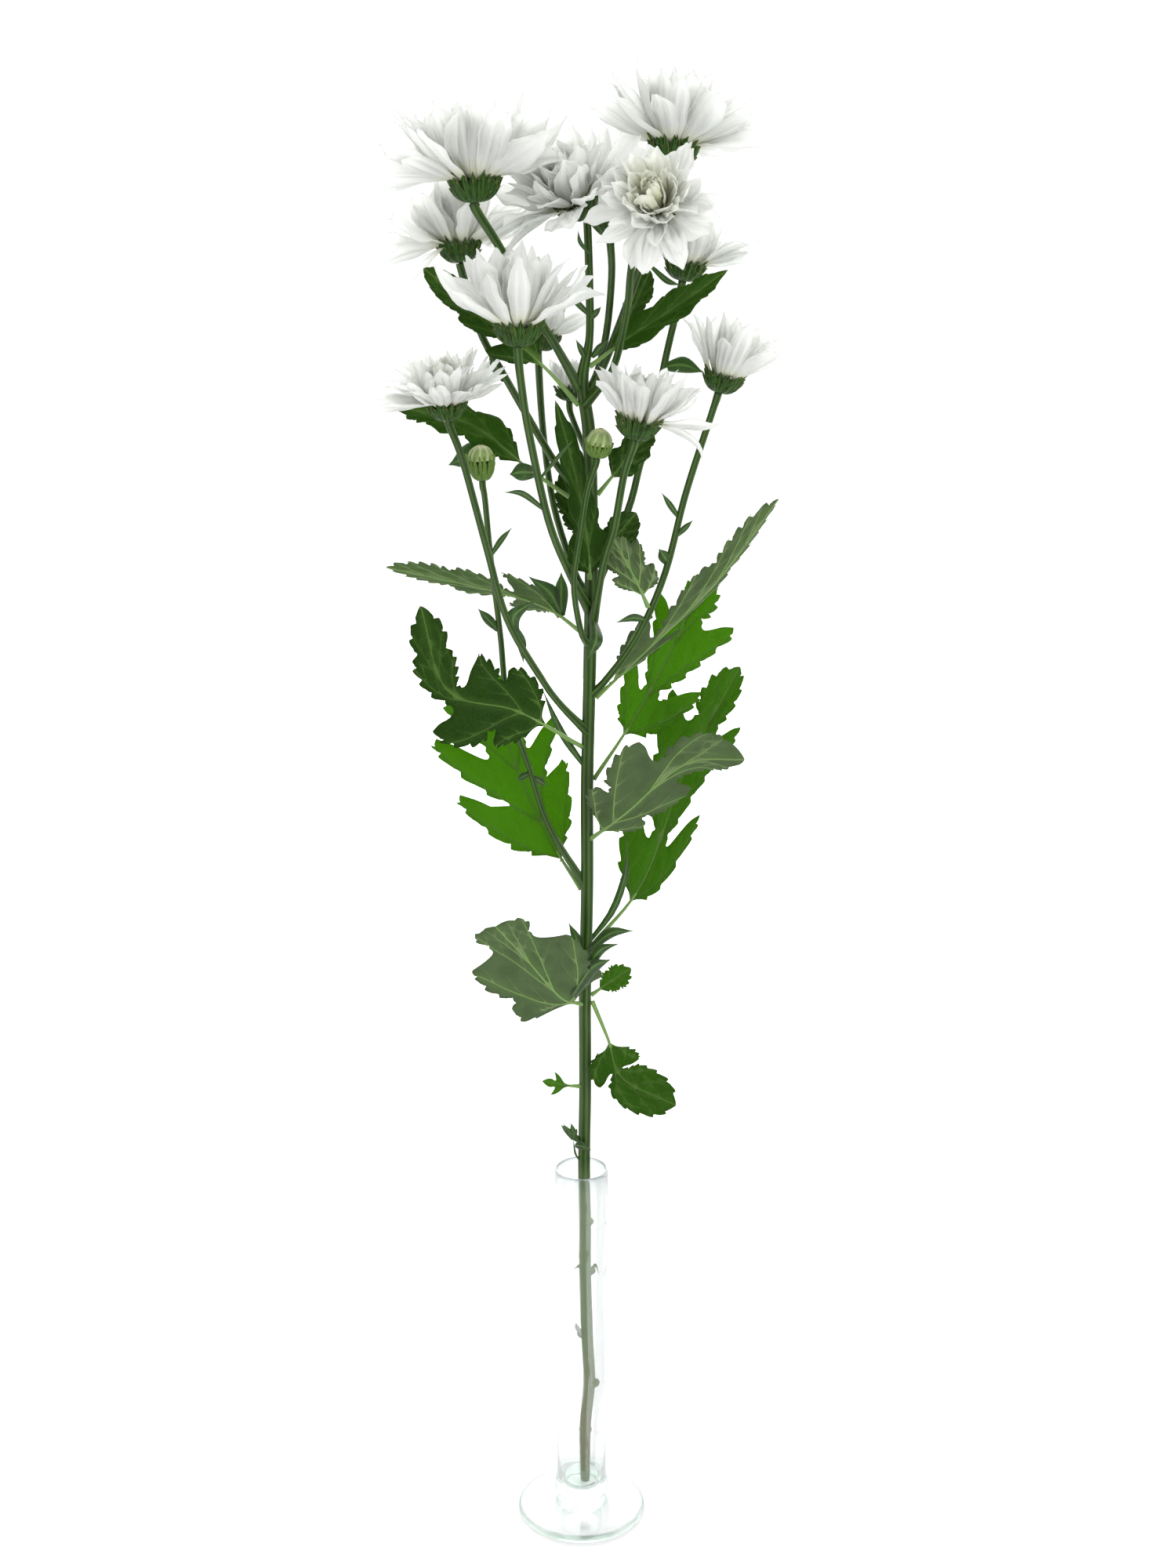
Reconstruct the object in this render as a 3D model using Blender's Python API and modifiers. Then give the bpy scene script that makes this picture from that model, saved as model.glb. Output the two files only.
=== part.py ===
"""A white spray chrysanthemum standing in a clear glass bud vase.

All places and sizes in the tables are millimetres. The origin is on the vase's axis at the
table, +Z is up, and -Y is the side that the picture was taken from.
"""
import math
import random
from typing import NamedTuple

import bmesh
import bpy
from mathutils import Vector
from mathutils.geometry import delaunay_2d_cdt

MM = 0.001
FIT_GAP = 0.3
BLADE_THICK = 0.75
MERGE_DISTANCE = 0.00001

VASE_HEIGHT = 190.0
RIM_RADIUS = 13.15
GLASS_WALL = 1.3
COLLAR_RADIUS = 13.4
FOOT_RADIUS = 32.0
FOOT_EDGE = 3.2
FLOOR_TOP = 13.8
VASE_SIDES = 24

CUT_END_RADIUS = 2.2
STEM_RADIUS = 2.9
STEM_TOP_RADIUS = 1.7
STALK_RADIUS = 1.0
SQUARE_STALK = 0.9
NECK_LENGTH = 6.0
NECK_RADIUS = 0.9
NECK_PER_CUP = 0.105
SLIM_SHARE = 0.88

MAIN_STEM = (
    (2, 0, 14.4), (2, 0, 46), (4, 1, 72), (3, 3, 98), (2, 5, 132), (2, 6, 157), (1.5, 8.4, 188),
    (2, 10, 223), (2, 11, 251), (2, 11, 280), (3, 11, 331), (3, 9, 382), (4, 7, 430),
    (5, 4, 494), (4, 2, 544), (1, 0, 569), (4, -1, 588), (4, -2, 610), (4, -3, 638),
)
SIDE_STEMS = {
    "a": ((0, 0, 566), (-11, 2, 585), (-18, 3, 596), (-33, -3, 624), (-43, -14, 645)),
    "b": ((3, 3, 518), (-7, 8, 527), (-15, 11, 538), (-34, 17, 570), (-45, 19, 590),
          (-52, 22, 618)),
    "c": ((3, 1, 562), (12, 6, 580), (25, 10, 614), (31, 12, 634), (38, 18, 658)),
    "d": ((2, 0, 559), (10, -6, 569), (15, -12, 578), (20, -18, 600), (23, -20, 625),
          (27, -21, 640)),
    "g": ((3, 1, 563), (8, 8, 574), (12, 18, 592), (14, 32, 614), (14, 42, 629)),
    "m": ((5, 5, 472), (21, 12, 509), (27, 15, 531), (32, 17, 546), (38, 20, 577),
          (44, 25, 602), (45.5, 26, 610)),
    "e": ((4, 5, 466), (-5, -10, 486), (-14, -24, 512), (-22, -36, 552), (-25, -41, 574),
          (-26, -42, 587)),
    "h": ((4, 5, 474), (-2, 10, 481), (-12, 16, 511), (-17, 22, 545), (-18, 24, 580)),
    "i": ((4, 3, 536), (0, 12, 543), (-4, 19, 552), (-5, 21, 558)),
    "j": ((4, 8, 407), (-9, 2, 422), (-18, -3, 436), (-33, -7, 464), (-42, -7, 497),
          (-52, -5, 535), (-58, -2, 552)),
    "k": ((5, 6, 455), (10, -12, 489), (15, -19, 508), (19, -27, 532), (22, -30, 547)),
    "l": ((4, 7, 425), (12, 4, 434), (26, 0, 455), (38, -2, 484), (47, -1, 520),
          (58, 0, 555), (61, 0, 564)),
    "n": ((3, 11, 330), (-15, 14, 360), (-25, 14, 391), (-34, 13, 420), (-37, 12, 453),
          (-41, 9, 491), (-43, 7, 516), (-44, 6, 524)),
    "o": ((4, 6, 449), (0, -6, 459), (-3, -14, 482), (0, -17, 505), (3, -18, 524),
          (7, -19, 537.5)),
}


class Head(NamedTuple):
    """One open flower head: where its receptacle is, where it faces and how it is filled."""

    at: tuple
    faces: tuple
    reach: float
    rise: float
    rings: tuple
    cup: float
    petal_width: float
    seed: int


HEADS = {
    "a": Head((-45, -15, 656), (-0.06, -0.05, 1.0), 40, 20, (8, 6, 4), 10.5, 17, 11),
    "b": Head((-54, 22, 628), (-0.10, 0.05, 1.0), 34, 8, (7, 6, 4), 9.0, 14, 12),
    "c": Head((41, 20, 670), (0.12, 0.12, 1.0), 39, 26, (8, 6, 4), 10.5, 15, 13),
    "d": Head((32, -29, 645), (-0.15, -0.80, 0.55), 27, 16, (8, 6, 4), 8.5, 12, 14),
    "e": Head((-26, -42, 597), (0.0, -0.02, 1.0), 37, 38, (8, 6, 4), 9.3, 13.5, 15),
    "f": Head((-2, -3, 647), (-0.34, -0.20, 0.9), 31, 18, (8, 6, 4), 9.0, 12, 16),
    "g": Head((14, 46, 638), (0.05, 0.20, 1.0), 30, 34, (7, 5), 8.5, 12, 17),
    "h": Head((-17, 25, 588), (0.20, 0.12, 1.0), 23, 40, (7, 5), 7.5, 10, 18),
    "i": Head((-5, 22, 564), (0.0, 0.12, 1.0), 17, 58, (6, 4), 5.5, 6, 19),
    "j": Head((-59, -3, 561), (-0.10, -0.24, 1.0), 27, 18, (9, 7, 4), 8.5, 9.5, 20),
    "k": Head((25, -31, 556), (0.20, -0.06, 1.0), 27, 26, (9, 7, 4), 8.7, 9.5, 21),
    "l": Head((63, 0, 572), (0.28, 0.0, 1.0), 31, 50, (8, 6), 8.0, 9, 22),
    "m": Head((47, 27, 619), (0.18, 0.02, 1.0), 27, 32, (8, 6), 8.2, 11, 23),
}


class Bud(NamedTuple):
    """One closed bud: its green cup and the pale petal tips above it."""

    at: tuple
    faces: tuple
    cup: float
    cup_height: float
    tip_height: float


BUDS = {
    "n": Bud((-44.5, 6, 534), (-0.05, -0.05, 1.0), 5.8, 9.0, 6.5),
    "o": Bud((8, -19.5, 544), (0.15, -0.10, 1.0), 5.6, 5.5, 7.0),
}


class Leaf(NamedTuple):
    """One leaf: the run of its midrib, its width, the way its upper side faces, its stalk."""

    grows_on: str
    run: tuple
    width: float
    faces: tuple
    stalk: float


LEAVES = {
    "top_left": Leaf("main", ((-1, 0, 559), (-17, -3, 577), (-41, -3, 596), (-68, -2, 618)),
                     28, (0.1, -1.0, 0.3), 0.30),
    "under_left": Leaf("main", ((0, 3, 513), (-23, 12, 529), (-47, 23, 549), (-87, 26, 558)),
                       26, (0.0, -1.0, 0.6), 0.35),
    "front_mid": Leaf("main", ((3, -4, 481), (3, -6, 500), (-2, -7, 528), (-11, -9, 562)),
                      22, (0.3, -1.0, 0.0), 0.12),
    "behind_mid": Leaf("main", ((3, 10, 493), (-2, 12, 507), (-9, 14, 528)),
                       17, (0.2, -1.0, 0.0), 0.15),
    "mid_right": Leaf("main", ((6, 3, 519), (19, 2, 533), (33, 2, 549)),
                      16, (0.0, -1.0, 0.3), 0.25),
    "low_mid_right": Leaf("main", ((7, 3, 489), (15, 2, 499), (25, 2, 511)),
                          16, (0.1, -1.0, 0.1), 0.20),
    "on_right_stem": Leaf("l", ((34, -3, 469), (24, -10, 484), (14, -9, 502)),
                          18, (0.2, 1.0, 0.3), 0.20),
    "upper_right": Leaf("main", ((7, -4, 576), (20, -7, 588), (41, -13, 602), (63, -17, 618)),
                        22, (-0.4, -1.0, 0.3), 0.15),
    "upper_back": Leaf("c", ((17, 9, 590), (24, 17, 601), (31, 19, 616)),
                       12, (-0.3, -1.0, 0.1), 0.15),
    "right_long": Leaf("main", ((8, 8, 424), (26, 10, 442), (60, 7, 477), (88, -4, 518)),
                       32, (-0.75, -0.35, 0.6), 0.12),
    "right_lobed": Leaf("main", ((8, 11, 384), (20, 20, 408), (36, 28, 434), (72, 31, 458)),
                        46, (0.0, -1.0, 0.1), 0.28),
    "right_tall": Leaf("main", ((6, 13, 301), (26, 20, 327), (41, 27, 362), (74, 33, 433)),
                       42, (0.0, -1.0, 0.1), 0.25),
    "left_bright": Leaf("main", ((0, 13, 329), (-15, 21, 353), (-32, 27, 398), (-47, 29, 432)),
                        54, (0.0, -1.0, 0.1), 0.22),
    "front_right": Leaf("main", ((6, 6, 356), (19, -12, 369), (46, -27, 394), (73, -37, 407)),
                        46, (0.35, 0.9, 0.5), 0.16),
    "front_left": Leaf("main", ((0, 8, 272), (-9, -5, 280), (-32, -24, 302), (-50, -34, 318)),
                       52, (0.2, 1.0, 0.1), 0.16),
    "low_right": Leaf("main", ((5, 11, 276), (14, 10, 283), (24, 10, 290)),
                      15, (0.0, -1.0, 0.4), 0.2),
    "drooping": Leaf("main", ((6, 12, 273), (13, 8, 254), (23, 5, 235), (45, 2, 222)),
                     30, (0.3, -1.0, 0.4), 0.34),
    "low_left": Leaf("main", ((1, 8, 229), (-9, 6, 231), (-19, 4, 234)),
                     12, (0.0, -1.0, 0.5), 0.25),
    "left_long": Leaf("main", ((0, 5, 454), (-18, 20, 465), (-52, 34, 472), (-91, 36, 480)),
                      25, (0.1, -0.45, 1.0), 0.22),
    "left_big": Leaf("main", ((0, 7, 401), (-21, -6, 418), (-46, -16, 436), (-74, -20, 474)),
                     54, (0.25, -1.0, 0.15), 0.22),
}

# Half of a lobed leaf's outline: along the blade from its base, and out, in half widths.
LEAF_HALF = (
    (0.09, 0.14), (0.13, 0.56), (0.25, 0.88), (0.34, 0.72), (0.33, 0.20), (0.44, 0.58),
    (0.57, 1.00), (0.68, 0.86), (0.64, 0.24), (0.77, 0.46), (0.87, 0.48), (0.94, 0.26),
)
SMALL_LEAF_HALF = ((0.14, 0.30), (0.32, 0.95), (0.45, 0.70), (0.62, 1.00), (0.84, 0.60))
SMALL_LEAF_WIDTH = 20.0
LEAF_FOLD_DEG = 14.0
LEAF_CURL = 0.10

# Bracts and small leaves on the stems: their run and their width.
BRACTS = (
    (((-34, 17, 568), (-41, 14, 580)), 6), (((38, 20, 574), (46, 17, 575), (55, 14, 572)), 8),
    (((40, -2, 488), (35, -6, 496)), 6), (((-29, -6, 456), (-30, -8, 466), (-19, -10, 474)), 7),
    (((-31, -6, 462), (-27, -5, 453), (-26, -6, 444)), 5), (((-38, 12, 455), (-47, 8, 466)), 5),
    (((31, -1, 462), (24, -3, 464), (16, -4, 462)), 4),
    (((-24, 14, 386), (-30, 7, 385)), 4), (((-22, 14, 384), (-16, 8, 382)), 4),
    (((3, 9, 389), (-9, 9, 407), (-18, 7, 429)), 4),
    (((3, 11, 302), (15, 13, 318), (21, 14, 336), (22, 12, 352)), 4),
    (((2, 10, 197), (-4, 6, 204), (-9, 3, 212)), 4), (((2, 10, 296), (-6, 8, 314)), 5),
    (((2, 11, 233), (7, 9, 240), (8, 7, 248)), 4), (((4, -3, 630), (-1, -7, 637), (-1, -8, 642)), 2),
    (((4, -2, 596), (9, -7, 602)), 3), (((4, -2, 598), (-6, -5, 608)), 3),
    (((3, -1, 578), (-2, -6, 588)), 3), (((5, -1, 580), (12, -7, 588)), 4),
    (((-15, -26, 516), (-25, -29, 524), (-33, -31, 525)), 3),
    (((-18, -30, 530), (-9, -32, 541), (-3, -34, 548)), 2),
    (((44, -1, 509), (36, -5, 521)), 3), (((43, -2, 501), (50, -7, 509)), 3),
    (((-41, 9, 490), (-36, 5, 498), (-31, 3, 504)), 3), (((6, 1, 462), (7, -12, 456), (3, -14, 447)), 7),
)
STEM_KNOBS = ((4, 6, 131), (3, 6, 158), (1, 4, 97), (6, 1, 71), (2, 1, 44))
KNOB_RADIUS = 3.3

NARROW_PETAL = 12.5
PETAL_ROW_BIAS = 0.7
INNER_RISE = 82
PETAL_ROOT_RISE = 1.1
PETAL_COLOUR = (0.90, 0.92, 0.88)
CUP_COLOUR = (0.10, 0.19, 0.05)
STEM_COLOUR = (0.14, 0.26, 0.08)
LEAF_COLOUR = (0.06, 0.20, 0.03)
BUD_TIP_COLOUR = (0.82, 0.86, 0.62)
GLASS_COLOUR = (0.90, 0.97, 0.95)


def clear_scene():
    """Take every object out of the scene."""
    for old in list(bpy.data.objects):
        bpy.data.objects.remove(old, do_unlink=True)


def new_collection(name):
    """Make a collection that the scene holds."""
    group = bpy.data.collections.new(name)
    bpy.context.scene.collection.children.link(group)
    return group


def plain_material(name, colour, roughness, transmission=0.0):
    """Make a Principled material."""
    material = bpy.data.materials.new(name)
    material.use_nodes = True
    shader = material.node_tree.nodes["Principled BSDF"]
    shader.inputs["Base Color"].default_value = (*colour, 1.0)
    shader.inputs["Roughness"].default_value = roughness
    shader.inputs["Metallic"].default_value = 0.0
    shader.inputs["Transmission Weight"].default_value = transmission
    return material


def metres(point):
    """Turn a place in millimetres into a vector in metres."""
    return Vector(point) * MM


def add_object(name, mesh, group, material=None):
    """Put a mesh in a collection as an object."""
    piece = bpy.data.objects.new(name, mesh)
    group.objects.link(piece)
    if material:
        mesh.materials.clear()
        mesh.materials.append(material)
    return piece


def mesh_of(piece):
    """Return what the viewport shows of an object as a mesh of its own, and remove the object."""
    bpy.context.view_layer.update()
    shown = piece.evaluated_get(bpy.context.evaluated_depsgraph_get())
    mesh = bpy.data.meshes.new_from_object(shown)
    mesh.transform(piece.matrix_world)
    bpy.data.objects.remove(piece, do_unlink=True)
    return mesh


def weld(mesh):
    """Join the points of a mesh that lie in one place."""
    work = bmesh.new()
    work.from_mesh(mesh)
    bmesh.ops.remove_doubles(work, verts=work.verts, dist=MERGE_DISTANCE)
    work.to_mesh(mesh)
    work.free()
    return mesh


def linked_faces(start, seen):
    """List the faces that hang together with one face."""
    found = [start]
    seen.add(start)
    for face in found:
        for edge in face.edges:
            for other in edge.link_faces:
                if other not in seen:
                    seen.add(other)
                    found.append(other)
    return found


def keep_largest_body(mesh):
    """Drop the loose scraps and sealed hollows that fusing leaves, and keep the outer body."""
    work = bmesh.new()
    work.from_mesh(mesh)
    seen = set()
    bodies = [linked_faces(face, seen) for face in work.faces if face not in seen]
    bodies.sort(key=len, reverse=True)
    spare = [face for body in bodies[1:] for face in body]
    bmesh.ops.delete(work, geom=spare, context="FACES")
    loose = [vert for vert in work.verts if not vert.link_faces]
    bmesh.ops.delete(work, geom=loose, context="VERTS")
    work.to_mesh(mesh)
    work.free()
    return mesh


def fuse(name, base, pieces, group, material):
    """Join pieces to a base with one Boolean union on their collection."""
    gathered = new_collection(name + "_pieces")
    for piece in pieces:
        gathered.objects.link(piece)
        group.objects.unlink(piece)
    union = base.modifiers.new("Union", "BOOLEAN")
    union.operation = "UNION"
    union.operand_type = "COLLECTION"
    union.collection = gathered
    union.solver = "MANIFOLD"
    mesh = keep_largest_body(mesh_of(base))
    for piece in list(gathered.objects):
        bpy.data.objects.remove(piece, do_unlink=True)
    bpy.data.collections.remove(gathered)
    return add_object(name, mesh, group, material)


def smooth_point(points, share):
    """Give the place at a share of the way along a smooth curve through some points."""
    spans = len(points) - 1
    span = min(int(share * spans), spans - 1)
    step = share * spans - span
    here, there = Vector(points[span]), Vector(points[span + 1])
    before = Vector(points[span - 1]) if span else here * 2 - there
    after = Vector(points[span + 2]) if span + 2 <= spans else there * 2 - here
    slope_here = (there - before) / 2
    slope_there = (after - here) / 2
    cube, square = step ** 3, step ** 2
    return (here * (2 * cube - 3 * square + 1) + slope_here * (cube - 2 * square + step)
            + there * (3 * square - 2 * cube) + slope_there * (cube - square))


def tube(name, points, radii, group, sides_level):
    """Make a closed round tube along some points, in millimetres."""
    curve = bpy.data.curves.new(name, "CURVE")
    curve.dimensions = "3D"
    curve.bevel_depth = MM
    curve.bevel_resolution = sides_level
    curve.use_fill_caps = True
    spline = curve.splines.new("POLY")
    spline.points.add(len(points) - 1)
    for knot, point, radius in zip(spline.points, points, radii):
        knot.co = (*metres(point), 1.0)
        knot.radius = radius
    line = bpy.data.objects.new(name + "_line", curve)
    group.objects.link(line)
    mesh = weld(mesh_of(line))
    bpy.data.curves.remove(curve)
    return add_object(name, mesh, group)


def sheet_solid(name, work, group):
    """Turn an open sheet into a closed blade of one thickness, split alike on both faces."""
    bmesh.ops.triangulate(work, faces=work.faces)
    mesh = bpy.data.meshes.new(name)
    work.to_mesh(mesh)
    work.free()
    sheet = add_object(name + "_sheet", mesh, group)
    thick = sheet.modifiers.new("Thickness", "SOLIDIFY")
    thick.thickness = BLADE_THICK * MM
    thick.offset = 0.0
    solid = mesh_of(sheet)
    return add_object(name, solid, group)


def ring_solid(name, rings, bottom, top, group):
    """Make a closed body from rings of points, the lowest first, with a point at each end."""
    work = bmesh.new()
    loops = [[work.verts.new(metres(point)) for point in ring] for ring in rings]
    count = len(loops[0])
    low, high = work.verts.new(metres(bottom)), work.verts.new(metres(top))
    for index in range(count):
        beside = (index + 1) % count
        work.faces.new((low, loops[0][beside], loops[0][index]))
        work.faces.new((high, loops[-1][index], loops[-1][beside]))
        for lower, upper in zip(loops, loops[1:]):
            work.faces.new((lower[index], lower[beside], upper[beside], upper[index]))
    bmesh.ops.triangulate(work, faces=work.faces)
    mesh = bpy.data.meshes.new(name)
    work.to_mesh(mesh)
    work.free()
    return add_object(name, mesh, group)


def stand_at(piece, at, faces):
    """Set a piece made round +Z in its place, facing its own way."""
    piece.location = metres(at)
    piece.rotation_mode = "QUATERNION"
    piece.rotation_quaternion = Vector(faces).to_track_quat("Z", "Y")
    bpy.context.view_layer.update()


def smooth_shade(piece, angle_deg):
    """Shade a piece smooth, with sharp edges past an angle."""
    piece.data.shade_smooth()
    piece.data.set_sharp_from_angle(angle=math.radians(angle_deg))


def vase(group):
    """Turn the glass vase: round foot, collar, narrow tube and fire-polished rim."""
    inner = RIM_RADIUS - GLASS_WALL
    collar_top = FLOOR_TOP + 2.5
    outline = (
        (0.0, FLOOR_TOP), (6.5, FLOOR_TOP + 0.3), (9.6, FLOOR_TOP + 2.6), (11.0, FLOOR_TOP + 9),
        (inner - 0.3, 80), (inner, VASE_HEIGHT - 6), (inner, VASE_HEIGHT - 1.0),
        (inner + 0.35, VASE_HEIGHT - 0.2), (RIM_RADIUS - 0.35, VASE_HEIGHT),
        (RIM_RADIUS, VASE_HEIGHT - 0.7), (RIM_RADIUS, 150), (RIM_RADIUS - 0.4, 90),
        (RIM_RADIUS - 0.8, 35), (RIM_RADIUS - 0.6, collar_top + 2.5),
        (COLLAR_RADIUS, collar_top - 1.2), (COLLAR_RADIUS, collar_top - 3.8),
        (11.8, 9.0), (11.6, 7.0), (14.5, 5.4), (22.0, 4.4),
        (FOOT_RADIUS - 1.4, FOOT_EDGE + 0.2), (FOOT_RADIUS, FOOT_EDGE - 1.4),
        (FOOT_RADIUS - 0.3, 0.7), (FOOT_RADIUS - 1.2, 0.0), (0.0, 0.0),
    )
    work = bmesh.new()
    dots = [work.verts.new((radius * MM, 0, height * MM)) for radius, height in outline]
    for first, second in zip(dots, dots[1:]):
        work.edges.new((first, second))
    mesh = bpy.data.meshes.new("vase")
    work.to_mesh(mesh)
    work.free()
    glass = add_object("vase", mesh, group, plain_material("clear_glass", GLASS_COLOUR, 0.03, 1.0))
    turn = glass.modifiers.new("Turn", "SCREW")
    turn.steps = VASE_SIDES
    turn.render_steps = VASE_SIDES
    turn.use_merge_vertices = True
    turn.merge_threshold = 0.0001
    turn.use_smooth_shade = True
    return glass


def main_radius(height):
    """Give the main stem's radius at a height: thinner at the cut end and above the last node."""
    if height < 60:
        return CUT_END_RADIUS + (STEM_RADIUS - CUT_END_RADIUS) * height / 60
    if height > 575:
        return STEM_TOP_RADIUS
    return STEM_RADIUS


def stem_run(key):
    """Give the points and radii of the main stem, or of a side stem by its head's letter."""
    if key == "main":
        points = [*MAIN_STEM[:-1], *neck_points("f")]
        return points, [main_radius(point[2]) for point in points]
    points = [*SIDE_STEMS[key][:-1], *neck_points(key)]
    stout = NECK_RADIUS + NECK_PER_CUP * (HEADS.get(key) or BUDS[key]).cup
    slim = stout * SLIM_SHARE
    return points, [stout] + [slim] * (len(points) - 3) + [stout] * 2


def bract(name, run, width, group):
    """Make a small pointed blade along a run."""
    points = [Vector(point) for point in run]
    along = (points[-1] - points[0]).normalized()
    across = along.cross(Vector((0, -1, 0))).normalized()
    work = bmesh.new()
    bmesh.ops.create_grid(work, x_segments=1, y_segments=2, size=1.0)
    for vert in work.verts:
        share = (vert.co.y + 1) / 2
        half = width * (0.30 if share == 0 else 0.5) * (1 - share ** 3)
        vert.co = (smooth_point(points, share) + across * half * vert.co.x) * MM
    bmesh.ops.remove_doubles(work, verts=work.verts, dist=MERGE_DISTANCE)
    return sheet_solid(name, work, group)


def knob(name, place, group):
    """Make a small swelling where an old leaf sat."""
    mesh = bpy.data.meshes.new(name)
    work = bmesh.new()
    bmesh.ops.create_icosphere(work, subdivisions=1, radius=KNOB_RADIUS * MM)
    work.to_mesh(mesh)
    work.free()
    piece = add_object(name, mesh, group)
    piece.location = metres(place)
    piece.scale = (1.0, 1.0, 0.6)
    return piece


def stem(group):
    """Fuse the main stem with its side stems, bracts and knobs."""
    main = tube("stem_main", *stem_run("main"), group, 2)
    pieces = [tube("side_" + key, *stem_run(key), group, 1) for key in SIDE_STEMS]
    for index, (run, width) in enumerate(BRACTS):
        pieces.append(bract(f"bract_{index}", run, width, group))
    for index, place in enumerate(STEM_KNOBS):
        pieces.append(knob(f"knob_{index}", place, group))
    green = plain_material("stem_green", STEM_COLOUR, 0.55)
    fused = fuse("stem", main, pieces, group, green)
    smooth_shade(fused, 50)
    return fused


def cup_height(key):
    """Give how far the green cup of a head or bud reaches below its receptacle."""
    if key in BUDS:
        return BUDS[key].cup_height
    return HEADS[key].cup * 0.95


def neck_points(key):
    """Give the last two points of a stem: it runs straight into its green cup."""
    head = HEADS.get(key) or BUDS[key]
    axis = Vector(head.faces).normalized()
    end = Vector(head.at) - axis * (cup_height(key) + FIT_GAP)
    return tuple(end - axis * NECK_LENGTH), tuple(end)


def cup(key, material, group):
    """Make the green cup: rows of overlapping scales raised from a bowl."""
    head = HEADS.get(key) or BUDS[key]
    height = cup_height(key)
    scales = 12
    rows = ((1.00, 0.30), (0.72, 0.78), (0.30, 1.00), (0.0, 1.02))
    rings = []
    for row, (down, out) in enumerate(rows):
        ring = []
        for index in range(scales):
            turn = 2 * math.pi * index / scales
            proud = index % 2 == row % 2
            radius = head.cup * out * (1.05 if proud and down < 1 else 0.95)
            drop = 0.0 if proud or down == 1.0 else 0.20
            ring.append((radius * math.cos(turn), radius * math.sin(turn),
                         -height * (down + (drop if down < 1 else 0))))
        rings.append(ring)
    piece = ring_solid("cup_" + key, rings, (0, 0, -height), (0, 0, 0), group)
    piece.data.materials.append(material)
    stand_at(piece, head.at, head.faces)
    smooth_shade(piece, 25)
    return piece


def petal(name, head, ring, turn, draw, group):
    """Make one petal as a cupped blade rooted in the receptacle."""
    inward = ring / len(head.rings)
    rise = head.rise + (INNER_RISE - head.rise) * inward ** 0.7 + draw.uniform(-6, 6)
    tip_rise = rise + draw.uniform(4, 20) * (1 if ring else 0.6)
    length = head.reach * (1 - 0.32 * inward) * draw.uniform(0.90, 1.04)
    width = head.petal_width * (1 - 0.30 * inward) * draw.uniform(0.9, 1.1)
    root = Vector((head.cup * (0.42 - 0.12 * inward), PETAL_ROOT_RISE + head.cup * 0.38 * inward))
    rows = 3 if ring == 0 and head.petal_width > NARROW_PETAL else 2
    columns = 2 if ring == 0 or (ring == 1 and head.petal_width > NARROW_PETAL) else 1
    work = bmesh.new()
    bmesh.ops.create_grid(work, x_segments=columns, y_segments=rows, size=1.0)
    for vert in work.verts:
        side, share = vert.co.x, ((vert.co.y + 1) / 2) ** PETAL_ROW_BIAS
        angle = math.radians(rise + (tip_rise - rise) * share)
        middle = math.radians(rise + (tip_rise - rise) * share / 2)
        out = root.x + length * share * math.cos(middle)
        up = root.y + length * share * math.sin(middle)
        swell = 0.30 + 0.70 * math.sin(min(share / 0.62, 1) * math.pi / 2)
        taper = math.sqrt(max(0.0, 1 - max(0.0, (share - 0.62) / 0.38) ** 2))
        half = width / 2 * swell * taper
        lift = 0.22 * half * side * side
        place = Vector((out - lift * math.sin(angle), half * side, up + lift * math.cos(angle)))
        vert.co = Vector((place.x * math.cos(turn) - place.y * math.sin(turn),
                          place.x * math.sin(turn) + place.y * math.cos(turn), place.z)) * MM
    bmesh.ops.remove_doubles(work, verts=work.verts, dist=MERGE_DISTANCE)
    return sheet_solid(name, work, group)


def bloom(key, material, group):
    """Fuse a head's petals, layer on layer, to the small core that they stand out of."""
    head = HEADS[key]
    draw = random.Random(head.seed)
    mesh = bpy.data.meshes.new("core")
    work = bmesh.new()
    depth = head.cup * 0.55
    bmesh.ops.create_cone(work, cap_ends=True, cap_tris=True, segments=9,
                          radius1=head.cup * 0.76 * MM, radius2=head.cup * 0.34 * MM,
                          depth=depth * MM)
    bmesh.ops.translate(work, verts=work.verts, vec=metres((0, 0, FIT_GAP + depth / 2)))
    work.to_mesh(mesh)
    work.free()
    core = add_object("core_" + key, mesh, group)
    pieces = []
    for ring, count in enumerate(head.rings):
        start = draw.uniform(0, 2 * math.pi)
        for index in range(count):
            turn = start + 2 * math.pi * (index + draw.uniform(-0.12, 0.12)) / count
            pieces.append(petal(f"petal_{key}_{ring}_{index}", head, ring, turn, draw, group))
    fused = fuse("bloom_" + key, core, pieces, group, material)
    stand_at(fused, head.at, head.faces)
    smooth_shade(fused, 40)
    return fused


def bud_tip(key, material, group):
    """Make the pale closed petals of a bud as a fluted dome."""
    bud = BUDS[key]
    flutes = 12
    rows = ((0.0, 0.86), (0.45, 0.84), (0.8, 0.52))
    rings = []
    for rise, out in rows:
        ring = []
        for index in range(flutes):
            turn = 2 * math.pi * index / flutes
            radius = bud.cup * out * (1.0 if index % 2 else 0.88)
            ring.append((radius * math.cos(turn), radius * math.sin(turn),
                         FIT_GAP + bud.tip_height * rise))
        rings.append(ring)
    piece = ring_solid("bud_tip_" + key, rings, (0, 0, FIT_GAP), (0, 0, FIT_GAP + bud.tip_height),
                       group)
    piece.data.materials.append(material)
    stand_at(piece, bud.at, bud.faces)
    smooth_shade(piece, 40)
    return piece


def stem_at(key, height):
    """Give the middle and the radius of a stem at a height."""
    points, radii = stem_run(key)
    for index, (low, high) in enumerate(zip(points, points[1:])):
        if low[2] <= height <= high[2]:
            share = (height - low[2]) / (high[2] - low[2])
            radius = radii[index] + (radii[index + 1] - radii[index]) * share
            return Vector(low).lerp(Vector(high), share), radius
    raise ValueError(f"no stem {key} at {height}")


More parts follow.
